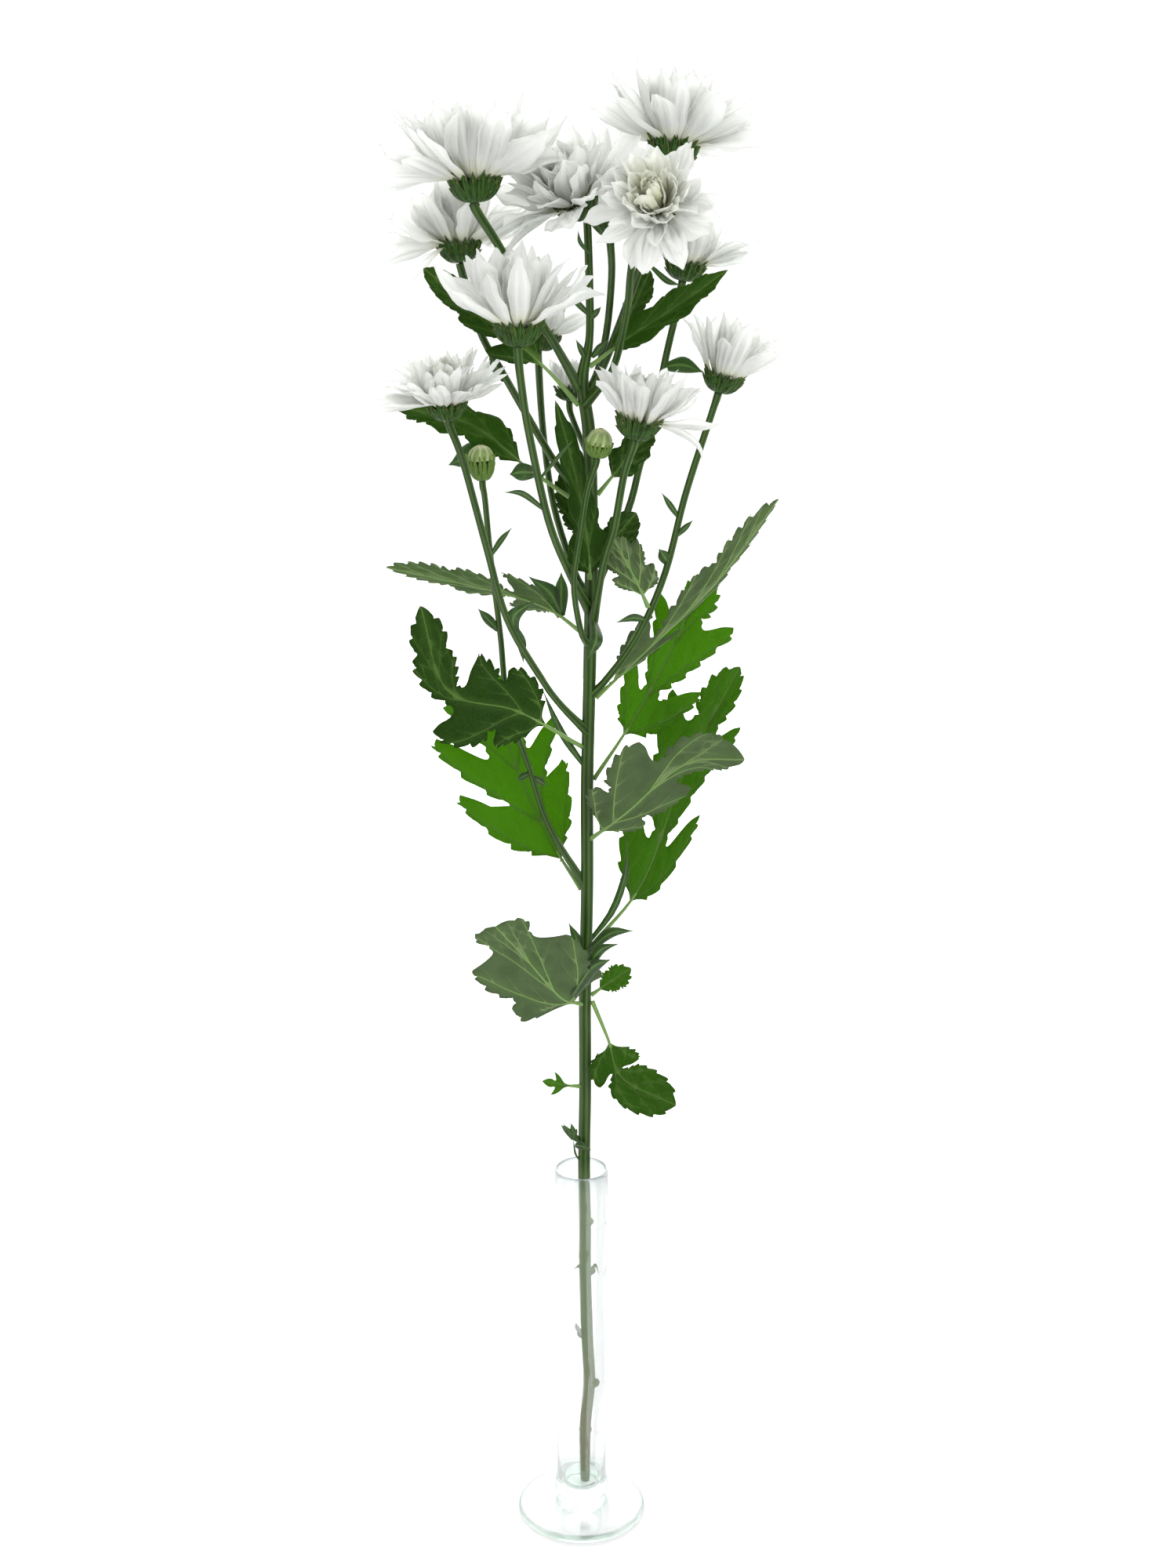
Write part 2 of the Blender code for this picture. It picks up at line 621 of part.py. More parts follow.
def seated_run(leaf):
    """Start a leaf's run just clear of the side of the stem that carries it."""
    axis, radius = stem_at(leaf.grows_on, leaf.run[0][2])
    outward = Vector(leaf.run[1]) - axis
    away = Vector((outward.x, outward.y, 0)).normalized()
    rim_back = STALK_RADIUS * abs(outward.normalized().z)
    start = axis + away * (radius + rim_back * SQUARE_STALK + FIT_GAP)
    return [start, *(Vector(point) for point in leaf.run[1:])]


def leaf_frame(run, faces, share):
    """Give the place, the way across and the way up at a share of a leaf's run."""
    place = smooth_point(run, share)
    ahead = smooth_point(run, min(share + 0.02, 1.0)) - smooth_point(run, max(share - 0.02, 0.0))
    ahead.normalize()
    up = (Vector(faces) - ahead * ahead.dot(Vector(faces))).normalized()
    return place, ahead.cross(up), up


def leaf_sheet(run, leaf):
    """Make the flat outline with its lobes, fill it and bend it along its run."""
    half = SMALL_LEAF_HALF if leaf.width < SMALL_LEAF_WIDTH else LEAF_HALF
    rim = [(0.0, 0.05), *half, (1.0, 0.0), *((along, -out) for along, out in reversed(half)),
           (0.0, -0.05)]
    ribs = [(share, 0.0) for share in (0.25, 0.5, 0.75)]
    flat = [Vector(point) for point in rim + ribs]
    edges = [(index, (index + 1) % len(rim)) for index in range(len(rim))]
    spine = [len(rim), len(rim) + 1, len(rim) + 2]
    edges += list(zip(spine, spine[1:]))
    dots, _, faces, *_ = delaunay_2d_cdt(flat, edges, [list(range(len(rim)))], 1, 1e-6)
    work = bmesh.new()
    verts = []
    fold = math.radians(LEAF_FOLD_DEG)
    for along, out in dots:
        share = leaf.stalk + (1 - leaf.stalk) * along
        place, across, up = leaf_frame(run, leaf.faces, share)
        side = out * leaf.width / 2
        lift = abs(side) * math.sin(fold) - LEAF_CURL * side * side / (leaf.width / 2) * 2
        verts.append(work.verts.new((place + across * side * math.cos(fold) + up * lift) * MM))
    for face in faces:
        work.faces.new([verts[index] for index in face])
    bmesh.ops.recalc_face_normals(work, faces=work.faces)
    return work


def leaf(name, spec, material, group):
    """Fuse one leaf's blade with its stalk."""
    run = seated_run(spec)
    blade = sheet_solid("blade_" + name, leaf_sheet(run, spec), group)
    end = spec.stalk + 0.16 * (1 - spec.stalk)
    shares = [end * step / 3 for step in range(4)]
    points = [smooth_point(run, share) for share in shares]
    stalk = tube("stalk_" + name, points, [STALK_RADIUS, 0.9, 0.9, 0.7], group, 0)
    fused = fuse("leaf_" + name, stalk, [blade], group, material)
    smooth_shade(fused, 40)
    return fused


def build():
    """Make every piece."""
    clear_scene()
    group = new_collection("spray_chrysanthemum_in_vase")
    petal_white = plain_material("petal_white", PETAL_COLOUR, 0.5)
    cup_green = plain_material("cup_green", CUP_COLOUR, 0.55)
    leaf_green = plain_material("leaf_green", LEAF_COLOUR, 0.5)
    bud_cream = plain_material("bud_cream", BUD_TIP_COLOUR, 0.5)
    vase(group)
    stem(group)
    for key in HEADS:
        cup(key, cup_green, group)
        bloom(key, petal_white, group)
    for key in BUDS:
        cup(key, cup_green, group)
        bud_tip(key, bud_cream, group)
    for name, spec in LEAVES.items():
        leaf(name, spec, leaf_green, group)


build()
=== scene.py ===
"""Dress the packed spray chrysanthemum: petals, cups, veined leaves, ribbed stems and glass.

Tables are in millimetres, in the same frame as the packed model. Every point carries a marking
of three numbers, which its finish names. On petals, scales and bracts the first two are the
side (-1 to 1) and the share from root to tip.
"""

import math
import random
from typing import NamedTuple

import bpy
import numpy as np
from bpy.props import FloatProperty, FloatVectorProperty, IntProperty, PointerProperty
from bpy.types import Operator, Panel, PropertyGroup
from mathutils import Color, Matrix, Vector
from mathutils.geometry import delaunay_2d_cdt


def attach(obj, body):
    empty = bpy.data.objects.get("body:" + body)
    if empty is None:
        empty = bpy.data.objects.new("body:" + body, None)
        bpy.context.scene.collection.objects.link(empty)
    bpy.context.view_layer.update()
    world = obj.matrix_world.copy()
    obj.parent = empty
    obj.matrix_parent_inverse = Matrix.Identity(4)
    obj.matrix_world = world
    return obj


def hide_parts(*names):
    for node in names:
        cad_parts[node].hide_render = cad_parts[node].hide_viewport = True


bl_info = {
    "name": "Spray Chrysanthemum in Bud Vase",
    "version": (1, 0, 0),
    "blender": (4, 5, 0),
    "location": "View3D > Sidebar > Flower",
    "description": "White spray chrysanthemum standing in a clear glass bud vase",
    "category": "Add Mesh",
}

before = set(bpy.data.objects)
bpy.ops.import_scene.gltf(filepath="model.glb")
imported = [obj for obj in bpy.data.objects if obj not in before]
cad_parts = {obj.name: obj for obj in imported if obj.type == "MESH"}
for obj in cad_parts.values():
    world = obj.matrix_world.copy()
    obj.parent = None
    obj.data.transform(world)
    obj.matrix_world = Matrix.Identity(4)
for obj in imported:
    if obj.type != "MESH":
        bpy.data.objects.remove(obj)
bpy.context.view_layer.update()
BODY = "root"
MARK = "mark"
MM = 0.001
FULL_TURN = 2 * math.pi
GOLDEN_TURN = FULL_TURN * 0.382

MAIN_STEM = (
    (2, 0, 14.4), (2, 0, 46), (4, 1, 72), (3, 3, 98), (2, 5, 132), (2, 6, 157), (1.5, 8.4, 188),
    (2, 10, 223), (2, 11, 251), (2, 11, 280), (3, 11, 331), (3, 9, 382), (4, 7, 430),
    (5, 4, 494), (4, 2, 544), (1, 0, 569), (4, -1, 588), (4, -2, 610), (4, -3, 638),
)
SIDE_STEMS = {
    "a": ((0, 0, 566), (-11, 2, 585), (-18, 3, 596), (-33, -3, 624), (-43, -14, 645)),
    "b": ((3, 3, 518), (-7, 8, 527), (-15, 11, 538), (-34, 17, 570), (-45, 19, 590),
          (-52, 22, 618)),
    "c": ((3, 1, 562), (12, 6, 580), (25, 10, 614), (31, 12, 634), (38, 18, 658)),
    "d": ((2, 0, 559), (10, -6, 569), (15, -12, 578), (20, -18, 600), (23, -20, 625),
          (27, -21, 640)),
    "g": ((3, 1, 563), (8, 8, 574), (12, 18, 592), (14, 32, 614), (14, 42, 629)),
    "m": ((5, 5, 472), (21, 12, 509), (27, 15, 531), (32, 17, 546), (38, 20, 577),
          (44, 25, 602), (45.5, 26, 610)),
    "e": ((4, 5, 466), (-5, -10, 486), (-14, -24, 512), (-22, -36, 552), (-25, -41, 574),
          (-26, -42, 587)),
    "h": ((4, 5, 474), (-2, 10, 481), (-12, 16, 511), (-17, 22, 545), (-18, 24, 580)),
    "i": ((4, 3, 536), (0, 12, 543), (-4, 19, 552), (-5, 21, 558)),
    "j": ((4, 8, 407), (-9, 2, 422), (-18, -3, 436), (-33, -7, 464), (-42, -7, 497),
          (-52, -5, 535), (-58, -2, 552)),
    "k": ((5, 6, 455), (10, -12, 489), (15, -19, 508), (19, -27, 532), (22, -30, 547)),
    "l": ((4, 7, 425), (12, 4, 434), (26, 0, 455), (38, -2, 484), (47, -1, 520),
          (58, 0, 555), (61, 0, 564)),
    "n": ((3, 11, 330), (-15, 14, 360), (-25, 14, 391), (-34, 13, 420), (-37, 12, 453),
          (-41, 9, 491), (-43, 7, 516), (-44, 6, 524)),
    "o": ((4, 6, 449), (0, -6, 459), (-3, -14, 482), (0, -17, 505), (3, -18, 524),
          (7, -19, 537.5)),
}


class Head(NamedTuple):
    """One open head: its receptacle, where it faces, how its rings of petals are filled."""

    at: tuple
    faces: tuple
    reach: float
    rise: float
    front: float
    rings: tuple
    cup: float
    petal_width: float
    heart: int
    tint: float
    seed: int
    roll: float = 1.0


HEADS = {
    "a": Head((-45, -15, 656), (-0.06, -0.05, 1.0), 42, 12, 42, (13, 12, 11, 9, 7), 10.5, 14, 8,
              0.25, 11),
    "b": Head((-54, 22, 628), (-0.10, 0.05, 1.0), 34, 8, 48, (10, 9, 9, 8, 6), 9.0, 13, 8,
              0.3, 12),
    "c": Head((41, 20, 670), (0.12, 0.12, 1.0), 39, 13, 34, (14, 13, 12, 10, 9), 10.5, 12.5, 12,
              0.15, 13),
    "d": Head((32, -29, 645), (-0.15, -0.80, 0.55), 27, 8, 0, (12, 12, 11, 10, 9), 8.5, 11.0,
              30, 1.5, 14, 0.4),
    "e": Head((-26, -42, 597), (0.0, -0.02, 1.0), 39, 30, 18, (11, 10, 10, 7), 9.3, 12.5, 9,
              0.3, 15, 0.7),
    "f": Head((-2, -3, 647), (-0.42, -0.42, 0.8), 34, 12, 10, (12, 11, 10, 9, 8), 9.0, 14, 12,
              0.4, 16, 0.5),
    "g": Head((14, 46, 638), (0.05, 0.20, 1.0), 31, 32, 16, (9, 9, 7, 6), 8.5, 12, 6, 0.2, 17),
    "h": Head((-17, 25, 588), (0.20, 0.12, 1.0), 24, 40, 10, (8, 8, 6), 7.5, 10, 5, 0.3, 18),
    "i": Head((-5, 22, 564), (0.0, 0.12, 1.0), 17, 58, 0, (7, 6, 4), 5.5, 6, 3, 0.5, 19),
    "j": Head((-59, -3, 561), (-0.10, -0.24, 1.0), 28, 12, 22, (14, 14, 13, 12, 10), 8.5, 8.2,
              16, 0.6, 20, 0.6),
    "k": Head((25, -31, 556), (0.20, -0.06, 1.0), 29, 36, 16, (12, 12, 10, 8, 6), 8.7, 7.4, 9,
              0.4, 21, 0.8),
    "l": Head((63, 0, 572), (0.28, 0.0, 1.0), 32, 50, 8, (10, 9, 7), 8.0, 9.5, 5, 0.3, 22, 0.7),
    "m": Head((47, 27, 619), (0.18, 0.02, 1.0), 28, 30, 20, (10, 10, 8), 8.2, 10.5, 6, 0.3, 23),
}


# Single petals that stray from their rings: turn, rise, rise at the tip, how late it bends,
# length and width.
STRAYS = {
    "a": ((176, 8, -110, 2.2, 40, 9), (172, 4, 20, 1.0, 38, 13), (0, 30, 34, 1.0, 39, 11),
          (-12, 60, 66, 1.0, 37, 14), (-168, 56, 62, 1.0, 37, 14)),
    "b": ((215, -28, -34, 1.0, 34, 6), (184, 2, 8, 1.0, 32, 13), (200, -8, -14, 1.0, 32, 11),
          (-8, 8, 16, 1.0, 30, 12)),
    "c": ((4, 16, 12, 1.0, 38, 13), (-14, 10, 2, 1.0, 36, 13), (196, 46, 50, 1.0, 36, 13),
          (190, 62, 70, 1.0, 37, 12)),
    "d": ((-99, 24, -62, 2.2, 27, 12), (-78, 22, -60, 2.0, 28, 12)),
    "f": ((180, 10, -12, 1.5, 36, 11), (190, 2, -20, 1.5, 36, 11)),
    "j": ((188, -2, 4, 1.0, 27, 8), (172, 16, 10, 1.0, 29, 9), (6, 34, 42, 1.0, 26, 8)),
    "k": ((-12, -2, -48, 2.0, 28, 6), (2, 8, 4, 1.0, 29, 9)),
    "m": ((2, 30, 38, 1.0, 28, 9), (-8, 18, 22, 1.0, 27, 9)),
    "l": ((6, 40, 52, 1.0, 29, 9),),
}


class Bud(NamedTuple):
    """One closed bud: its green cup and the pale petal tips above it."""

    at: tuple
    faces: tuple
    cup: float
    cup_height: float
    tip_height: float


BUDS = {
    "n": Bud((-44.5, 6, 534), (-0.05, -0.05, 1.0), 5.8, 9.0, 6.5),
    "o": Bud((8, -19.5, 544), (0.15, -0.10, 1.0), 5.6, 5.5, 7.0),
}


class Leaf(NamedTuple):
    """One leaf: its midrib's run, its width, where its upper side faces, its stalk, the light
    through it, which is also painted light in its colours, its outline, the depth of its teeth,
    how far its sides fold up in degrees, and how much wider one side is than the other."""

    grows_on: str
    run: tuple
    width: float
    faces: tuple
    stalk: float
    light: float
    outline: str
    teeth: float
    fold: float = 14.0
    lean: float = 0.0


LEAVES = {
    "top_left": Leaf("main", ((-1, 0, 559), (-17, -3, 577), (-41, -3, 596), (-68, -2, 618)),
                     26, (0.1, -1.0, 0.3), 0.30, 0.3, "three", 0.4),
    "under_left": Leaf("main", ((0, 3, 513), (-23, 12, 529), (-50, 22, 548), (-87, 26, 556)),
                       20, (0.0, -1.0, 0.5), 0.35, 0.4, "wavy", 1.5),
    "front_mid": Leaf("main", ((3, -4, 481), (3, -6, 500), (-2, -7, 528), (-11, -9, 562)),
                      23, (0.3, -1.0, 0.0), 0.06, 0.3, "long", 0.9),
    "behind_mid": Leaf("main", ((3, 10, 493), (-2, 12, 507), (-9, 14, 528)),
                       17, (0.2, -1.0, 0.0), 0.15, 0.2, "small", 1.2),
    "mid_right": Leaf("main", ((6, 3, 519), (19, 2, 533), (33, 2, 549)),
                      17, (0.0, -1.0, 0.3), 0.25, 0.1, "wavy", 0.4),
    "low_mid_right": Leaf("main", ((7, 3, 489), (15, 2, 499), (25, 2, 511)),
                          18, (0.1, -1.0, 0.1), 0.20, 0.1, "small", 0.5),
    "on_right_stem": Leaf("l", ((34, -3, 469), (24, -10, 484), (14, -9, 502)),
                          23, (0.2, 1.0, 0.3), 0.20, 0.0, "broad", 0.8),
    "upper_right": Leaf("main", ((7, -4, 576), (20, -7, 588), (41, -13, 602), (63, -17, 618)),
                        18, (-0.4, -1.0, 0.3), 0.15, 0.4, "wavy", 0.7, 26.0),
    "upper_back": Leaf("c", ((17, 9, 590), (24, 17, 601), (31, 19, 616)),
                       13, (-0.3, -1.0, 0.1), 0.15, 0.2, "small", 0.6),
    "right_long": Leaf("main", ((8, 8, 424), (26, 10, 442), (60, 7, 477), (88, -4, 518)),
                       34, (-0.45, 0.70, 0.50), 0.12, 0.1, "three", 2.2, 30.0),
    "right_lobed": Leaf("main", ((8, 11, 384), (24, 19, 410), (42, 27, 442), (59, 31, 478)),
                        45, (0.0, -1.0, 0.1), 0.24, 1.0, "fingers", 1.9, 12.0, 0.16),
    "right_tall": Leaf("main", ((6, 13, 301), (30, 20, 331), (50, 28, 384), (75, 33, 433)),
                       44, (0.0, -1.0, 0.1), 0.22, 0.8, "fingers", 1.9, 12.0, -0.24),
    "left_bright": Leaf("main", ((0, 13, 329), (-15, 21, 352), (-32, 26, 390), (-41, 29, 431)),
                        64, (0.0, -1.0, 0.1), 0.20, 1.0, "hand", 2.0, 10.0, -0.20),
    "front_right": Leaf("main", ((6, 6, 356), (21, -13, 375), (47, -27, 402), (73, -37, 407)),
                        43, (0.35, 0.9, 0.5), 0.10, 0.2, "cut", 1.9, 18.0, 0.22),
    "front_left": Leaf("main", ((0, 8, 272), (-10, -4, 281), (-26, -18, 306), (-39, -31, 326)),
                       58, (0.2, 1.0, 0.1), 0.14, 0.2, "fan", 1.9, 16.0, 0.08),
    "low_right": Leaf("main", ((5, 11, 276), (14, 10, 283), (24, 10, 290)),
                      15, (0.0, -1.0, 0.4), 0.2, 0.8, "small", 1.3),
    "drooping": Leaf("main", ((6, 12, 273), (13, 8, 254), (20, 5, 235), (46, 2, 222)),
                     31, (0.3, -1.0, 0.4), 0.34, 0.6, "two", 1.4, 20.0),
    "low_left": Leaf("main", ((1, 8, 229), (-9, 6, 231), (-19, 4, 234)),
                     12, (0.0, -1.0, 0.5), 0.25, 1.0, "trident", 0.2),
    "left_long": Leaf("main", ((0, 5, 454), (-18, 20, 465), (-52, 34, 472), (-91, 36, 480)),
                      28, (0.1, 0.88, 0.60), 0.20, 0.3, "three", 1.8, 24.0),
    "left_big": Leaf("main", ((0, 7, 401), (-29, -9, 422), (-60, -18, 434), (-71, -21, 473)),
                     48, (0.25, -1.0, 0.15), 0.20, 0.2, "horn", 2.3, 12.0),
}

# Half of each kind of leaf's outline, from its base to its tip: where it starts, then smooth
# runs, each from where the last one ends. A run is its number of teeth and its further places,
# along the blade and out, in half widths.
OUTLINES = {
    "three": (
        (0.0, 0.035),
        (1, (0.05, 0.07), (0.09, 0.14), (0.12, 0.24)),
        (4, (0.14, 0.42), (0.18, 0.62), (0.24, 0.8), (0.31, 0.94)),
        (2, (0.355, 1.0), (0.39, 0.99), (0.415, 0.91)),
        (2, (0.41, 0.78), (0.392, 0.63), (0.372, 0.5)),
        (0, (0.356, 0.38), (0.346, 0.28), (0.344, 0.21), (0.353, 0.16), (0.37, 0.17),
            (0.388, 0.25)),
        (4, (0.42, 0.38), (0.475, 0.52), (0.54, 0.61), (0.61, 0.66)),
        (1, (0.645, 0.65), (0.665, 0.58)),
        (0, (0.667, 0.5), (0.672, 0.45), (0.688, 0.46)),
        (4, (0.735, 0.51), (0.79, 0.52), (0.85, 0.48), (0.9, 0.4)),
        (2, (0.95, 0.28), (0.985, 0.14), (1.0, 0.0)),
    ),
    "two": (
        (0.0, 0.05),
        (1, (0.06, 0.14), (0.1, 0.38), (0.12, 0.64)),
        (3, (0.17, 0.86), (0.25, 0.98), (0.33, 1.0)),
        (1, (0.39, 0.96), (0.415, 0.84)),
        (0, (0.41, 0.62), (0.385, 0.42), (0.375, 0.28), (0.385, 0.22), (0.4, 0.26), (0.415, 0.4)),
        (4, (0.45, 0.62), (0.53, 0.8), (0.64, 0.88), (0.75, 0.84)),
        (3, (0.86, 0.68), (0.95, 0.4), (1.0, 0.0)),
    ),
    "cut": (
        (0.0, 0.05),
        (0, (0.03, 0.12), (0.05, 0.26), (0.06, 0.42)),
        (3, (0.1, 0.62), (0.15, 0.76), (0.21, 0.84)),
        (1, (0.245, 0.82), (0.262, 0.7)),
        (0, (0.262, 0.6), (0.27, 0.52), (0.285, 0.58)),
        (3, (0.31, 0.78), (0.37, 0.92), (0.44, 1.0)),
        (2, (0.5, 1.0), (0.54, 0.88)),
        (0, (0.54, 0.7), (0.525, 0.54), (0.52, 0.4), (0.535, 0.32), (0.555, 0.36)),
        (3, (0.61, 0.46), (0.69, 0.54), (0.77, 0.57)),
        (2, (0.83, 0.56), (0.87, 0.5)),
        (1, (0.93, 0.38), (0.975, 0.2), (1.0, 0.0)),
    ),
    "horn": (
        (0.0, 0.05),
        (0, (0.03, 0.12), (0.05, 0.28), (0.06, 0.46)),
        (3, (0.1, 0.66), (0.16, 0.8), (0.22, 0.88)),
        (1, (0.25, 0.86), (0.265, 0.72)),
        (0, (0.262, 0.58), (0.268, 0.48), (0.285, 0.54)),
        (3, (0.31, 0.76), (0.37, 0.92), (0.44, 1.0)),
        (2, (0.49, 0.99), (0.525, 0.86)),
        (0, (0.52, 0.64), (0.5, 0.46), (0.495, 0.3), (0.515, 0.22), (0.54, 0.25)),
        (3, (0.61, 0.36), (0.68, 0.44), (0.74, 0.46)),
        (1, (0.775, 0.44), (0.785, 0.36)),
        (2, (0.84, 0.38), (0.89, 0.36), (0.93, 0.28)),
        (1, (0.965, 0.2), (0.985, 0.1), (1.0, 0.0)),
    ),
    "fingers": (
        (0.0, 0.04),
        (1, (0.04, 0.1), (0.07, 0.24), (0.09, 0.42)),
        (3, (0.16, 0.62), (0.26, 0.8), (0.37, 0.97)),
        (2, (0.42, 1.0), (0.455, 0.93)),
        (0, (0.42, 0.7), (0.365, 0.5), (0.315, 0.34), (0.305, 0.24), (0.33, 0.22)),
        (4, (0.42, 0.42), (0.54, 0.62), (0.66, 0.8)),
        (2, (0.73, 0.92), (0.78, 0.94), (0.81, 0.86)),
        (0, (0.79, 0.68), (0.755, 0.52), (0.735, 0.4), (0.745, 0.32), (0.765, 0.31)),
        (3, (0.81, 0.4), (0.87, 0.43), (0.93, 0.38)),
        (2, (0.965, 0.28), (0.99, 0.14), (1.0, 0.0)),
    ),
    "hand": (
        (0.0, 0.04),
        (1, (0.05, 0.1), (0.09, 0.2), (0.12, 0.32)),
        (3, (0.2, 0.54), (0.31, 0.74), (0.43, 0.9)),
        (2, (0.48, 0.95), (0.505, 0.86)),
        (0, (0.46, 0.66), (0.4, 0.48), (0.355, 0.34), (0.36, 0.27), (0.385, 0.3)),
        (3, (0.47, 0.52), (0.57, 0.76), (0.67, 0.96)),
        (2, (0.72, 1.0), (0.745, 0.9)),
        (0, (0.7, 0.68), (0.65, 0.5), (0.615, 0.36), (0.625, 0.3), (0.65, 0.33)),
        (3, (0.73, 0.5), (0.81, 0.66), (0.88, 0.72)),
        (1, (0.915, 0.7), (0.92, 0.6)),
        (0, (0.89, 0.46), (0.87, 0.36), (0.88, 0.31), (0.9, 0.32)),
        (2, (0.94, 0.3), (0.97, 0.22)),
        (1, (0.985, 0.15), (0.995, 0.07), (1.0, 0.0)),
    ),
    "fan": (
        (0.0, 0.05),
        (0, (0.01, 0.22), (0.03, 0.48), (0.07, 0.7)),
        (2, (0.13, 0.88), (0.2, 0.95), (0.27, 0.93)),
        (0, (0.29, 0.86), (0.295, 0.8), (0.32, 0.8)),
        (3, (0.39, 0.94), (0.48, 1.03), (0.57, 1.03)),
        (1, (0.62, 1.0), (0.65, 0.92)),
        (0, (0.66, 0.76), (0.68, 0.6), (0.71, 0.46), (0.745, 0.4), (0.78, 0.41)),
        (2, (0.85, 0.5), (0.92, 0.5), (0.97, 0.4)),
        (1, (1.0, 0.26), (1.01, 0.12), (1.0, 0.0)),
    ),
    "long": (
        (0.0, 0.1),
        (0, (0.03, 0.32), (0.06, 0.58), (0.1, 0.8)),
        (2, (0.16, 0.98), (0.24, 1.0), (0.31, 0.9)),
        (0, (0.34, 0.74), (0.36, 0.62), (0.38, 0.6)),
        (2, (0.44, 0.7), (0.5, 0.66), (0.55, 0.54)),
        (0, (0.57, 0.44), (0.61, 0.42)),
        (2, (0.7, 0.5), (0.8, 0.48), (0.89, 0.34)),
        (1, (0.95, 0.18), (1.0, 0.0)),
    ),
    "wavy": (
        (0.0, 0.04),
        (1, (0.06, 0.12), (0.12, 0.34), (0.18, 0.62)),
        (2, (0.24, 0.84), (0.31, 0.98), (0.37, 1.0)),
        (0, (0.42, 0.9), (0.45, 0.8), (0.48, 0.76)),
        (2, (0.55, 0.86), (0.61, 0.93), (0.67, 0.9)),
        (0, (0.7, 0.76), (0.73, 0.64), (0.76, 0.6)),
        (2, (0.82, 0.6), (0.88, 0.5)),
        (1, (0.93, 0.3), (0.97, 0.14), (1.0, 0.0)),
    ),
    "broad": (
        (0.0, 0.05),
        (1, (0.05, 0.14), (0.09, 0.34), (0.12, 0.6)),
        (4, (0.17, 0.8), (0.26, 0.94), (0.36, 1.0), (0.46, 1.0)),
        (0, (0.475, 0.88), (0.47, 0.76), (0.472, 0.66), (0.487, 0.62), (0.505, 0.68)),
        (4, (0.56, 0.8), (0.64, 0.88), (0.74, 0.9), (0.82, 0.86)),
        (0, (0.815, 0.72), (0.81, 0.58), (0.82, 0.5), (0.84, 0.5)),
        (3, (0.9, 0.5), (0.955, 0.36), (1.0, 0.0)),
    ),
    "small": (
        (0.0, 0.04),
        (0, (0.06, 0.12), (0.12, 0.3), (0.2, 0.55)),
        (2, (0.28, 0.76), (0.37, 0.88)),
        (1, (0.43, 0.88), (0.48, 0.8)),
        (2, (0.56, 0.92), (0.66, 0.94)),
        (1, (0.73, 0.86), (0.78, 0.74)),
        (2, (0.87, 0.6), (0.95, 0.35), (1.0, 0.0)),
    ),
    "trident": (
        (0.0, 0.05),
        (0, (0.15, 0.1), (0.28, 0.2), (0.36, 0.38)),
        (0, (0.44, 0.62), (0.55, 0.86), (0.68, 1.0)),
        (0, (0.64, 0.78), (0.6, 0.52), (0.58, 0.34), (0.6, 0.27)),
        (1, (0.7, 0.36), (0.8, 0.34)),
        (0, (0.9, 0.2), (1.0, 0.0)),
    ),
}
